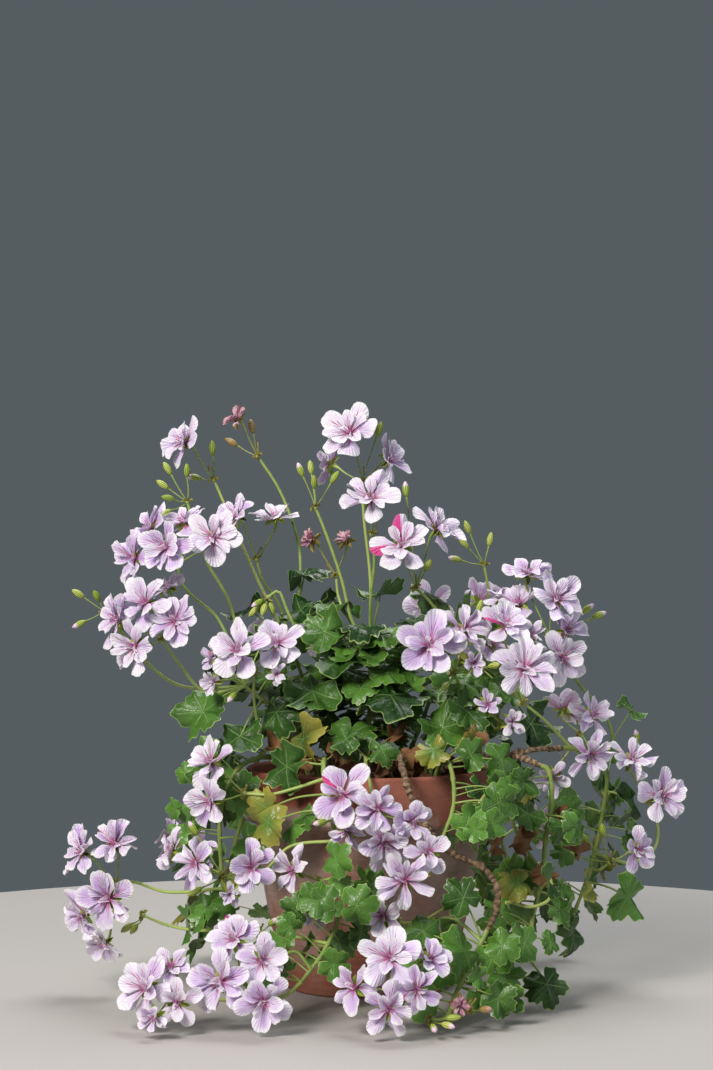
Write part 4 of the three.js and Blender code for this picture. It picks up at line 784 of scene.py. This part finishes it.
def bloom(growth, hub, place, index, dry):
    diameter = place[3]
    radius = diameter / 2
    pink = place[4] if len(place) > 4 else 0
    share, least = flower["lowest"]
    centre = np.array([place[0], place[1], max(place[2], share * diameter + least)], float)
    axis = unit(unit(centre - hub) + flower["outward"] * unit((place[0], place[1], 0))
                + np.array(flower["forward"]))
    frameOf = (*crossFrame(axis), axis)
    start = spread(index, 7, 0.5) + math.pi / 2
    shut = min(1.0, max(0.0, (flower["halfOpen"] - diameter) / flower["halfOpenRange"]))
    tired = 1.0 if dry else max(0.0, draw(index, 9) - 0.65) * 1.7 + 0.35 * shut
    seat = centre - flower["sunk"] * radius * axis
    rear = centre[1] > flower["back"]
    count = 5 if dry else 3 if rear or diameter < 38 else 4 if diameter < 44 else 5
    outerWhorl(growth, seat, frameOf, start, radius, pink, dry, index, shut, tired)
    innerWhorl(growth, seat, frameOf, start, radius, count, dry, index, shut, tired)
    throatAndStamens(growth, seat, frameOf, radius, dry, index)

    seatBack = seat - 0.3 * axis
    step = 2 * math.pi / flower["petals"]
    for number in range(flower["petals"]):  # green sepals behind the petals
        shape = {"width": 0.17, "lift": -0.05 - 0.3 * draw(index, number + 95),
                 "curl": spread(index, number + 96, 0.5), "cup": 0.3, "ruffle": 0.0}
        tint = (0.5 + spread(index, number + 97, 0.3), 0.0, 0.7 if dry else 0.0)
        petal(growth, seatBack - 0.4 * axis, frameOf, start + step / 2 + step * number, sepal["long"], shape,
              "bud", tint, index * 23 + number, small=True)
    neck = centre - 0.3 * radius * axis
    back = curveThrough([hub, (2 * hub + 3 * neck) / 5 - np.array((0, 0, 1.0)), neck, seatBack], 3.0)
    pedicelAlong(growth, back, "flowerStalk",
                 (0.3 + 0.5 * draw(index, 98), 0.5 * draw(index, 99), 0.3 if dry else 0.0))


# A bud: its size in mm, and what shapes its swelling
budShape = {"long": 12.5, "wide": 5.6, "sunk": 0.45, "steps": 9, "blunt": 0.8, "foot": 0.9, "tip": 0.25,
            "ribs": 0.07, "ripe": 0.65, "nod": 0.6}


def bud(growth, hub, tip, index, size=1.0, dry=False):
    tip = np.asarray(tip, float)
    way = unit(tip - hub)
    length = budShape["long"] * size
    foot = tip - budShape["sunk"] * length * way
    pedicelTo(growth, hub, foot + 0.5 * way, (0.5, 0.3 * draw(index, 101), 0.2 if dry else 0), index)
    steps = np.linspace(0, 1, budShape["steps"])
    nod = crossFrame(way)[1] * spread(index, 102, budShape["nod"])
    path = foot + steps[:, None] * length * way + (steps ** 2)[:, None] * nod
    swell = np.sin(np.pi * np.minimum(steps * 0.86 + 0.1, 0.97)) ** budShape["blunt"]
    radii = budShape["wide"] * size / 2 * np.maximum(swell, 0.1)
    radii[0], radii[-1] = budShape["foot"], budShape["tip"]
    ripe = 1.0 if draw(index, 104) > budShape["ripe"] else 0.0
    growth.tube(path, radii, 10, "bud", (draw(index, 103), ripe, 0.8 if dry else 0.0), ribs=budShape["ribs"])
    growth.grain[-1][:, 1] /= length


def knobAt(growth, hub, way, index, dry):  # where the stalks of a head meet, with its small bracts
    steps = np.linspace(-1, 1, 7)
    radii = stalk["knob"] * np.sqrt(np.maximum(1 - steps ** 2, 0.03)) * 0.8
    growth.tube(hub + steps[:, None] * stalk["knob"] * way, radii, 8, "stalk", (0.6, 0.6, 0.3 if dry else 0),
                rough=0.3)
    frameOf = (*crossFrame(-way), -way)
    for number in range(6):
        shape = {"width": 0.3, "lift": 0.2 + spread(index, number + 105, 0.4), "curl": 0.3, "cup": 0.4,
                 "ruffle": 0.0}
        petal(growth, hub, frameOf, 1.05 * number, sepal["bractLong"], shape, "bud", (0.4, 0, 0.5),
              index * 29 + number, small=True)


# Leaves: the lobes of one half from the tip to the stalk as (angle, reach) with the angles of the dips between
# them, as shares of the leaf's width, and above what height they lie flatter
leaf = {
    "lobes": ((0, 0.58), (64, 0.56), (126, 0.51)), "dips": (34, 96, 180), "dipReach": (0.37, 0.36, 0.13),
    "round": 2.8, "scallop": 0.036, "scallops": 9.4, "turn": 0.6, "tilt": 0.45, "thick": 0.7, "crown": 185,
    "crownRange": 60, "lowest": 0.8, "usual": 34,
}


def leafReach(angle):
    # How far a leaf's edge lies from its stalk in a direction, for a leaf one unit wide: round lobes, scalloped
    angle = abs((angle + 180) % 360 - 180)
    dips, reaches = (-leaf["dips"][0],) + leaf["dips"], (leaf["dipReach"][0],) + leaf["dipReach"]
    lobe = next(number for number in range(3) if angle <= dips[number + 1])
    middle, tip = leaf["lobes"][lobe]
    side = lobe + 1 if angle > middle else lobe
    share = abs(angle - middle) / abs(dips[side] - middle)
    scallop = leaf["scallop"] * math.cos(leaf["scallops"] * share) * (1 - share ** 4)
    return reaches[side] + (tip - reaches[side]) * (1 - share ** leaf["round"]) + scallop, middle


def leafGrid(rings, around):
    turns = (np.arange(around) + 0.5) * 360 / around
    reach, lobes = np.array([leafReach(angle) for angle in turns]).T
    signed = (turns + 180) % 360 - 180
    share = (np.arange(1, rings + 1) / rings)[:, None] ** 0.85
    off = np.radians(np.abs(signed) - lobes)
    ways = (np.sin(np.radians(signed)), np.cos(np.radians(signed)), np.sin(off))
    parts = [share * reach * way for way in ways] + [np.broadcast_to(share, (rings, around))]
    return [roundFaces(rings, around)] + [np.concatenate([[0], part.ravel()]) for part in parts]


leafGrids = {"large": leafGrid(5, 84), "small": leafGrid(3, 48)}


def leafBlade(growth, centre, frameOf, width, tint, index, kind="large", crumple=1.0):
    # A blade cupped, folded along each lobe and its middle, waved at its rim and drooping outward
    faces, side, up, beside, along = leafGrids[kind]
    across, forward, facing = frameOf
    far = np.hypot(side, up)
    height = 0.16 * far ** 1.2 - 0.34 * crumple * np.abs(beside) * along
    height = height + spread(index, 124, 0.4) * np.abs(side)
    height = height + crumple * 0.09 * along ** 2 * np.sin(3 * np.arctan2(side, up) + 6.3 * draw(index, 121))
    height = height - (0.4 + spread(index, 122, 0.8) * crumple) * np.maximum(far - 0.2, 0) ** 2
    height = height + 0.045 * crumple * along * np.sin(8 * side + 9 * draw(index, 123)) * np.cos(7 * up)
    middle = np.asarray(centre) + width * (
        side[:, None] * across + up[:, None] * forward + height[:, None] * facing)
    middle[:, 2] = np.maximum(middle[:, 2], leaf["lowest"])
    growth.sheet(middle, faces, leaf["thick"], "leaf", beside, along, tint)


# The pot's own sizes, as they are in the frame
clay = {
    "rim": 100, "height": 175, "base": 66, "band": 41, "step": 9, "wall": 7.5, "lip": 3, "floor": 12,
    "drain": 5, "drains": 3, "drainRing": 32, "belly": 1.25, "sides": 160, "corner": 1.6,
    "unevenness": 0.35, "chips": 9, "chipDepth": 2.2, "chipHeight": 3.0,
}


def nearestOn(curves, point):
    # The place on the stems nearest to a point, out of the pot and clear of the stem's own start
    found = []
    for path in curves:
        inPot = (path[:, 2] < clay["height"] + 6) & (np.hypot(path[:, 0], path[:, 1]) < clay["rim"])
        allowed = path[~inPot][3:]
        found.append(allowed[np.argmin(np.linalg.norm(allowed - point, axis=1))])
    return min(found, key=lambda spot: np.linalg.norm(spot - point))


def leafOn(growth, place, curves, index, tint, kind="large", crumple=1.0):
    # A leaf that faces outward and up, flatter at the crown, on a petiole from the stem nearest to it
    centre = np.array(place[:3], float)
    width = place[3]
    root = nearestOn(curves, centre)
    rise = 0.6 + 0.9 * min(1.0, max(0.0, (centre[2] - leaf["crown"]) / leaf["crownRange"]))
    facing = unit((centre[0] / 90, centre[1] / 90 - 0.5, rise + spread(index, 2, 0.3)))
    facing = unit(turn(facing, np.array((0, 0, 1.0)), spread(index, 1, leaf["turn"])))
    facing = unit(turn(facing, crossFrame(facing)[0], spread(index, 3, leaf["tilt"])))
    way = unit(centre - root)
    under = facing @ way
    if under < 0.3:
        facing = unit(facing + (0.3 - under) * way)
    forward = centre - root + np.array((0, 0, -0.35 * width))
    forward = unit(forward - facing * (forward @ facing))
    bow = (root + centre) / 2 + np.array((0, 0, 0.06 * np.linalg.norm(centre - root)))
    path = curveThrough([root, bow, centre - 0.3 * facing], 4.0)
    radius = stalk["petiole"] * min(1.0, width / leaf["usual"])
    growth.tube(path, np.linspace(1.25, 0.9, len(path)) * radius, 6, "stalk", (0.5, 0.2, 0.6 * tint[2]))
    leafBlade(growth, centre, (np.cross(forward, facing), forward, facing), width, tint, index, kind, crumple)


print("tools ready")


def stemCurves(plan):  # the stems of a shoot, the first of which may go on from the end of a woody stem
    stems = [[np.array(place, float) for place in points] for points in plan["stems"]]
    if "from" in plan:
        name, branch = plan["from"]
        before, end = [np.array(place, float) for place in woods[name][branch][-2:]]
        stems[0] = [end, end + 5 * unit(end - before)] + stems[0]
    return [curveThrough(points, stalk["spacing"]) for points in stems]


def stalkWay(plan, curves):  # from a head's hub by way of its stalk's bends to the nearest stem
    hub = np.array(plan["hub"], float)
    way = [np.array(place, float) for place in plan.get("stalk", ())]
    way.append(nearestOn(curves, way[-1] if way else hub))
    return hub, way, unit(way[0] - hub)


def stalkTube(growth, hub, way, index):
    path = curveThrough([hub] + way, 4.0)
    share = np.linspace(0, 1, len(path))
    foot = stalk["footWidens"] * np.exp(-((1 - share) / stalk["footShare"]) ** 2)
    radii = stalk["stalk"] * (1 + stalk["widens"] * share + foot)
    growth.tube(path, radii, 8, "stalk", (0.35 + 0.5 * draw(index, 131), 0.25 * draw(index, 132), 0))


curvesOf = {name: stemCurves(plan) for name, plan in shoots.items()}

# Heads of bloom
bloomCentres = []
number = 0
for name, plan in heads.items():
    growth = Growth()
    dry = plan.get("dry", False)
    hub, _, toStalk = stalkWay(plan, curvesOf[plan["shoot"]])
    knobAt(growth, hub, toStalk, number + 1, dry)
    for place in plan["blooms"]:
        number += 1
        bloomCentres.append((np.array(place[:3], float), place[3]))
        bloom(growth, hub, place, number, dry)
    for place in plan.get("buds", ()):
        bud(growth, hub, place, number * 7 + place[2], dry=dry)
    for spare in range(2):  # bare stalks of flowers that have dropped
        way = unit((spread(number, 141 + spare, 1), spread(number, 143 + spare, 1), 0.8))
        pedicelTo(growth, hub, hub + 9 * way - 4 * toStalk, (0.4, 0.5, 0.5), number + spare)
    growth.piece("blooms_" + name, "dry_petals" if dry else "petals", "head_" + name)
print("heads of bloom made:", len(heads))

# Young leaves stand between the large ones, clear of the flowers and of the pot's mouth. Pairs are the least
# of a measure and how much is drawn on top of it.
young = {
    "shoot": 19, "top": 84, "attempts": 800, "along": (0.35, 0.64), "reach": (16, 26), "rise": (-4, 24),
    "size": (16, 15), "clear": 12, "overPot": 10, "besidePot": 14, "lowest": 14, "mouth": (150, 232, 96),
}


def youngLeaves(growth, curves, wanted, salt):
    grown = 0
    for attempt in range(young["attempts"]):
        if grown >= wanted:
            break
        path = curves[attempt % len(curves)]
        share, reach, rise, size = [young[key][0] + young[key][1] * draw(attempt, salt + more)
                                    for key, more in (("along", 0), ("reach", 2), ("rise", 3), ("size", 4))]
        around = 6.28 * draw(attempt, salt + 1)
        root = path[int(len(path) * share)]
        place = root + (reach * math.cos(around), reach * math.sin(around), rise)
        inPot = (place[2] < clay["height"] + young["overPot"]
                 and math.hypot(place[0], place[1]) < clay["rim"] + young["besidePot"])
        low, high, beside = young["mouth"]
        mouth = low < place[2] < high and abs(place[0]) < beside and place[1] < 0
        taken = any(np.linalg.norm(place - centre) < wide / 2 + young["clear"] for centre, wide in bloomCentres)
        if inPot or mouth or taken or place[2] < young["lowest"]:
            continue
        grown += 1
        leafOn(growth, (*place, size), curves, salt * 31 + attempt,
               (0.45 + 0.5 * draw(attempt, 154), 0.1, 0.0), "small")


# Green shoots with their leaves, and the stalks that carry the heads
leafNumber = 0
for name, plan in shoots.items():
    growth = Growth()
    curves = curvesOf[name]
    for path in curves:
        lengths = np.arange(len(path)) * stalk["spacing"]
        joints = np.cos(lengths * 2 * np.pi / stalk["jointGap"] + draw(len("shoot_" + name), 3) * 6) ** 12
        taper = np.linspace(1, stalk["taper"], len(path))
        radii = stalk["stem"] * taper * (1 + stalk["jointWidens"] * joints)
        growth.tube(path, radii, 12, "stalk", (0.35, 0.3, 0), ribs=0.03, rough=0.12)
    for headName, head in heads.items():
        if head["shoot"] == name:
            hub, way, toStalk = stalkWay(head, curves)
            stalkTube(growth, hub + 2.4 * toStalk, way, leafNumber + len("head_" + headName))
    for umbel in plan.get("umbels", ()):
        hub, way, toStalk = stalkWay(umbel, curves)
        stalkTube(growth, hub, way, leafNumber + 3)
        knobAt(growth, hub, toStalk, leafNumber + 5, False)
        for place in umbel["buds"]:
            bud(growth, hub, place, int(place[0] + 3 * place[2]), 0.95)
    for place in plan.get("leaves", ()):
        leafNumber += 1
        # Leaves further back, and those above the crown, get a lower tone and so a darker green: painted shade
        back = min(1.0, max(0.0, (place[1] + 40) / 90))
        tone = 0.2 + 0.65 * draw(leafNumber, 151) - 0.25 * back - (0.2 if place[2] > leaf["crown"] else 0)
        yellowed = 0.75 if draw(leafNumber, 152) > 0.93 else 0.1 * draw(leafNumber, 153)
        crumple = 1.0 + 0.9 * draw(leafNumber, 155)
        leafOn(growth, place, curves, leafNumber, (tone, yellowed, 0.0), crumple=crumple)
    youngLeaves(growth, curves, young["top" if name == "top" else "shoot"], leafNumber)
    growth.piece("spray_" + name, "foliage", "shoot_" + name)
print("green shoots made:", len(shoots))

# Woody stems, ringed where leaves once stood
bark = {"radius": 3.0, "taper": 0.75, "spacing": 1.4, "twigs": 14}
for name, stems in woods.items():
    growth = Growth()
    for branch in stems:
        path = curveThrough(branch, bark["spacing"])
        lengths = np.arange(len(path)) * bark["spacing"]
        drift, knots = [np.array([noise.noise(Vector(place) * scale) for place in path])
                        for scale in (0.05, 0.13)]
        rings = np.maximum(np.cos(lengths * 0.62 + 7 * drift), 0) ** 5 * (0.4 + np.abs(drift) * 2)
        radii = bark["radius"] * np.linspace(1, bark["taper"], len(path)) * (0.92 + 0.14 * rings + 0.36 * knots)
        growth.tube(path, radii, 14, "bark", rough=0.36, roughness=230.0)
    path = curveThrough(stems[0], 4.0)
    for place in range(bark["twigs"]):
        spot = path[int(len(path) * (0.25 + 0.7 * draw(place, 161)))]
        way = unit((spread(place, 162, 1), spread(place, 163, 1), spread(place, 164, 0.6)))
        growth.tube([spot, spot + 5 * way, spot + (8 + 5 * draw(place, 165)) * way - (0, 0, 2)],
                    [0.7, 0.5, 0.2], 5, "bark", (0.7, 0, 0))
    growth.piece("bark_" + name, "bark", "wood_" + name)

# Loose ends that the frame leaves to the looks: runners and a bare twig, each from its carrier
ends = {
    "paleLoop": {"path": [[100, -112, 74], [105, -110, 82], [123, -108, 78], [137, -106, 83], [140, -100, 94],
                          [136, -90, 105]], "radius": 1.5, "dried": 0.1, "tone": 0.95},
    "paleArch": {"path": [[74, -112, 137], [84, -114, 158], [100, -108, 173], [116, -96, 173], [124, -84, 168]],
                 "radius": 1.4, "dried": 0.1, "tone": 0.95},
    "lowStalk": {"path": [[20, -132, 66], [38, -138, 71], [57, -140, 82], [76, -140, 91]], "radius": 1.2,
                 "dried": 0.0, "tone": 0.7},
    "darkTwig": {"path": [[102, -78, 164], [117, -84, 126], [132, -80, 104]], "radius": 1.7, "dried": 0.2,
                 "tone": 0.0},
}
growth = Growth()
for end in ends.values():
    path = curveThrough(end["path"], 3.0)
    radii = end["radius"] * np.linspace(1, 0.75, len(path))
    growth.tube(path, radii, 8, "stalk", (end["tone"], 0.2, end["dried"]), rough=0.15)
growth.piece("runners", "foliage")

# Dying leaves as [x, y, z, width, 1 where it is dead]
dying = [
    [96, -112, 126, 20, 1], [120, -96, 128, 24, 1], [149, -70, 140, 23, 1], [135, -96, 101, 20, 1],
    [166, -52, 118, 21, 1], [78, -82, 198, 27, 0], [120, -96, 168, 23, 0], [-77, -100, 152, 34, 0],
    [-52, -62, 186, 22, 1], [-24, -70, 192, 20, 1], [8, -66, 188, 24, 1], [36, -74, 194, 19, 1],
    [62, -60, 190, 22, 1], [-72, -48, 196, 19, 1], [20, -50, 204, 18, 1], [84, -64, 206, 18, 1],
]
growth = Growth()
allCurves = [path for curves in curvesOf.values() for path in curves]
for index, (*place, dead) in enumerate(dying):
    tint = (0.5 + 0.4 * draw(index, 171), 0.9, 0.9 * dead)
    leafOn(growth, place, allCurves, 400 + index, tint, crumple=1.0 + 1.6 * dead)
growth.piece("dying_leaves", "foliage")
print("loose ends made")


def outerReach(height):
    shoulder = clay["height"] - clay["band"]
    swell = math.sin(height / shoulder * clay["belly"]) / math.sin(clay["belly"])
    return clay["base"] + (clay["rim"] - clay["step"] - clay["base"]) * swell


def innerReach(height):
    return min(outerReach(height), clay["rim"] - clay["step"]) - clay["wall"]


def rounded(profile, size):  # takes each corner of a profile off with a short arc
    made = [profile[0]]
    for before, corner, after in zip(profile, profile[1:], profile[2:]):
        before, corner, after = [np.array(place, float) for place in (before, corner, after)]
        into, out = before - corner, after - corner
        cut = min(size, np.linalg.norm(into) * 0.45, np.linalg.norm(out) * 0.45)
        first, last = corner + cut * unit(into), corner + cut * unit(out)
        for share in (0, 0.33, 0.67, 1):
            made.append((1 - share) ** 2 * first + 2 * share * (1 - share) * corner + share ** 2 * last)
    return [tuple(place) for place in made + [profile[-1]]]


def potProfile():  # half of the pot's section, from the middle of its base round to the middle of its floor
    shoulder, top = clay["height"] - clay["band"], clay["height"]
    rim, wall, floor = clay["rim"], clay["wall"], clay["floor"]
    profile = [(0, 0), (clay["base"] - 1, 0)]
    profile += [(outerReach(height), height) for height in np.linspace(1.5, shoulder, 34)]
    profile += [(rim - 1, shoulder), (rim, shoulder + 3)]
    profile += [(rim - share, shoulder + 3 + share * (top - shoulder - 5)) for share in (0.3, 0.6, 1)]
    profile += [(rim - clay["lip"], top), (rim - wall, top - 1), (rim - wall, shoulder + floor)]
    profile += [(innerReach(height), height) for height in (shoulder - 10, 110, 70, 40, floor)]
    return rounded(profile + [(0, floor)], clay["corner"])


def turnedPot():  # thrown a little unevenly, with turning marks, and chipped along the edges of its band
    shoulder = clay["height"] - clay["band"]
    angles = 2 * np.pi * np.arange(clay["sides"]) / clay["sides"]
    chips = [(6.28 * draw(place, 181), 0.02 + 0.03 * draw(place, 182),
              shoulder + 1 if draw(place, 183) > 0.5 else clay["height"] - 1) for place in range(clay["chips"])]
    rows = []
    for reach, height in potProfile()[1:-1]:
        row = []
        for angle in angles:
            spot = Vector((reach * math.cos(angle), reach * math.sin(angle), height))
            off = clay["unevenness"] * (noise.noise(spot * 0.045) + 0.35 * noise.noise(spot * 0.25))
            ridge = 0.12 * math.sin(height * 1.1 + 2 * noise.noise(spot * 0.02))
            dent = 0
            for middle, wide, edge in chips:
                near = math.exp(-((angle - middle) / wide) ** 2 - ((height - edge) / clay["chipHeight"]) ** 2)
                dent = max(dent, near if reach > clay["rim"] - 5 else 0)
            turned = (reach + off + ridge - clay["chipDepth"] * dent) / max(reach, 1e-6)
            row.append((spot.x * turned, spot.y * turned, max(0, height + (0.4 * off if height > 2 else 0))))
        rows.append(row)
    growth = Growth()
    growth.add(np.vstack([np.array(rows).reshape(-1, 3), [[0, 0, 0], [0, 0, clay["floor"]]]]),
               *closedFaces(len(rows), clay["sides"]), "terracotta")
    pot = growth.piece("clay_pot", "terracotta", "pot")

    # Its drain holes, cut through the floor
    cutter = Growth()
    for place in range(clay["drains"]):
        angle = 2 * math.pi * place / clay["drains"] + 0.5
        spot = np.array((clay["drainRing"] * math.cos(angle), clay["drainRing"] * math.sin(angle), 0))
        path = [spot + (0, 0, height) for height in (-9, 6, 2 * clay["floor"])]
        cutter.tube(path, clay["drain"], 28, "terracotta")
    drains = bpy.data.objects.new("drains", cutter.mesh("drains"))
    bpy.context.scene.collection.objects.link(drains)
    holes = pot.modifiers.new("drains", "BOOLEAN")
    holes.object, holes.operation, holes.solver = drains, "DIFFERENCE", "EXACT"
    bpy.context.view_layer.update()
    cut = bpy.data.meshes.new_from_object(pot.evaluated_get(bpy.context.evaluated_depsgraph_get()))
    pot.modifiers.clear()
    pot.data = cut
    bpy.data.objects.remove(drains)


turnedPot()
print("pot turned")


# The soil inside it: how high it stands, and what lies on it
compost = {"top": 160, "dip": 4, "gap": 0.35, "rings": 34, "around": 96, "lumps": 2.2, "waist": 70,
           "chips": 300, "litter": 16}


def soilBody(growth, edge):  # lumpy on top, and as wide as the inside of the pot below
    rings, around = compost["rings"], compost["around"]
    quads, tris, _ = roundFaces(rings, around)
    angles = 2 * np.pi * np.arange(around) / around
    points = [(0, 0, compost["top"])]
    for part in np.arange(1, rings + 1) / rings:
        for angle in angles:
            reach = edge * part
            spot = Vector((reach * math.cos(angle), reach * math.sin(angle), 0))
            lump = noise.noise(spot * 0.06) + 0.6 * noise.noise(spot * 0.2) + 0.35 * noise.noise(spot * 0.6)
            height = compost["top"] - compost["dip"] * part + compost["lumps"] * lump * (1 if part < 1 else 0.2)
            points.append((spot.x, spot.y, height))
    base = len(points)
    waist, floor, gap = compost["waist"], clay["floor"], compost["gap"]
    for reach, height in ((edge, clay["height"] - clay["band"] + floor), (innerReach(waist) - gap, waist),
                          (innerReach(floor) - gap, floor + gap)):
        points += [(reach * math.cos(angle), reach * math.sin(angle), height) for angle in angles]
    points.append((0, 0, floor + gap))
    index = np.arange(base - around, base + 3 * around).reshape(4, around)
    growth.add(np.array(points), np.vstack([quads[:, ::-1], bandFaces(index)[:, (0, 3, 2, 1)]]),
               np.vstack([tris[:, ::-1], capFaces(index[-1], len(points) - 1)]), "compost", tint=(0, 0, 0))


def looseSoil():
    edge = clay["rim"] - clay["wall"] - compost["gap"]
    growth = Growth()
    soilBody(growth, edge)

    # Bark chips and crumbs, half sunk
    box = np.array([(x, y, z) for x in (-0.5, 0.5) for y in (-0.5, 0.5) for z in (-0.5, 0.5)])
    boxQuads = np.array([(0, 1, 3, 2), (4, 6, 7, 5), (0, 4, 5, 1), (2, 3, 7, 6), (0, 2, 6, 4), (1, 5, 7, 3)])
    for place in range(compost["chips"]):
        angle, reach = 6.28 * draw(place, 191), (edge - 6) * math.sqrt(draw(place, 192))
        size = 2.5 + 5.5 * draw(place, 193) ** 2
        middle = np.array((reach * math.cos(angle), reach * math.sin(angle),
                           compost["top"] - compost["dip"] * reach / edge + 0.8))
        lie = unit((spread(place, 194, 0.5), spread(place, 195, 0.5), 1))
        level, rise = [turn(way, lie, 6.28 * draw(place, 196)) for way in crossFrame(lie)]
        corners = box * (size * 1.5, size * (0.5 + 0.4 * draw(place, 197)), size * 0.45)
        corners = corners + np.array([[spread(place * 8 + corner, 198 + axis, 0.16 * size) for axis in range(3)]
                                      for corner in range(8)])
        corners = middle + corners[:, :1] * level + corners[:, 1:2] * rise + corners[:, 2:] * lie
        tint = (0.2 + 0.8 * draw(place, 199), 0, 0)
        growth.add(corners, boxQuads, np.zeros((0, 3), int), "compost", tint=tint)
    for place in range(compost["litter"]):  # dead leaves that have dropped on the soil
        angle, reach = 6.28 * draw(place, 301), 30 + 46 * draw(place, 302)
        spot = (reach * math.cos(angle), reach * math.sin(angle), compost["top"] + 5)
        facing = unit((spread(place, 303, 0.5), spread(place, 304, 0.5), 1))
        forward = turn(crossFrame(facing)[0], facing, 6.28 * draw(place, 305))
        leafBlade(growth, spot, (np.cross(forward, facing), forward, facing), 18 + 12 * draw(place, 306),
                  (draw(place, 307), 0.9, 1.0), place + 700, "small", 2.4)
    growth.piece("potting_soil", "soil", "soil")


looseSoil()
print("soil laid")


# Stage, light and camera
def stageAndLight():
    bpy.ops.mesh.primitive_circle_add(vertices=256, radius=0.64, fill_type="NGON", location=(0, 0, -0.0002))
    floorDisc = bpy.context.object
    floorDisc.name = "floor"
    newMaterial("paleFloor", {"Base Color": "#b7b4b0", "Roughness": 0.8})
    floorDisc.data.materials.append(bpy.data.materials["paleFloor"])
    world = bpy.data.worlds.new("studio")
    world.use_nodes = True
    world.node_tree.nodes["Background"].inputs["Color"].default_value = linear("#565d61")
    world.node_tree.nodes["Background"].inputs["Strength"].default_value = 1.0
    bpy.context.scene.world = world
    softboxes = {
        "window": {"at": (-1.2, -1.9, 1.7), "size": 0.9, "power": 74, "colour": "#fff8f2"},
        "fill": {"at": (1.9, -1.3, 0.9), "size": 1.6, "power": 9, "colour": "#eef4ff"},
        "above": {"at": (0.3, 0.8, 2.2), "size": 1.2, "power": 34, "colour": "#ffffff"},
    }
    for name, box in softboxes.items():
        light = bpy.data.lights.new(name, "AREA")
        light.shape, light.size, light.energy = "SQUARE", box["size"], box["power"]
        light.color = linear(box["colour"])[:3]
        lamp = bpy.data.objects.new(name, light)
        lamp.location = box["at"]
        aim = Vector((0, 0, 0.22)) - Vector(box["at"])
        lamp.rotation_euler = aim.to_track_quat("-Z", "Y").to_euler()
        bpy.context.scene.collection.objects.link(lamp)


def camera():
    # Level and straight on, 2.03 m in front of the pot's middle, with an 85 mm lens on an upright full frame
    view = bpy.data.cameras.new("front")
    view.lens, view.sensor_fit, view.sensor_height = 85, "VERTICAL", 36
    made = bpy.data.objects.new("front", view)
    made.location = (-9.2 * mm, -2030 * mm, 361 * mm)
    made.rotation_euler = (math.radians(90), 0, 0)
    bpy.context.scene.collection.objects.link(made)
    bpy.context.scene.camera = made


stageAndLight()
camera()
bpy.context.scene.view_settings.view_transform = "Standard"
print("stage and camera set")
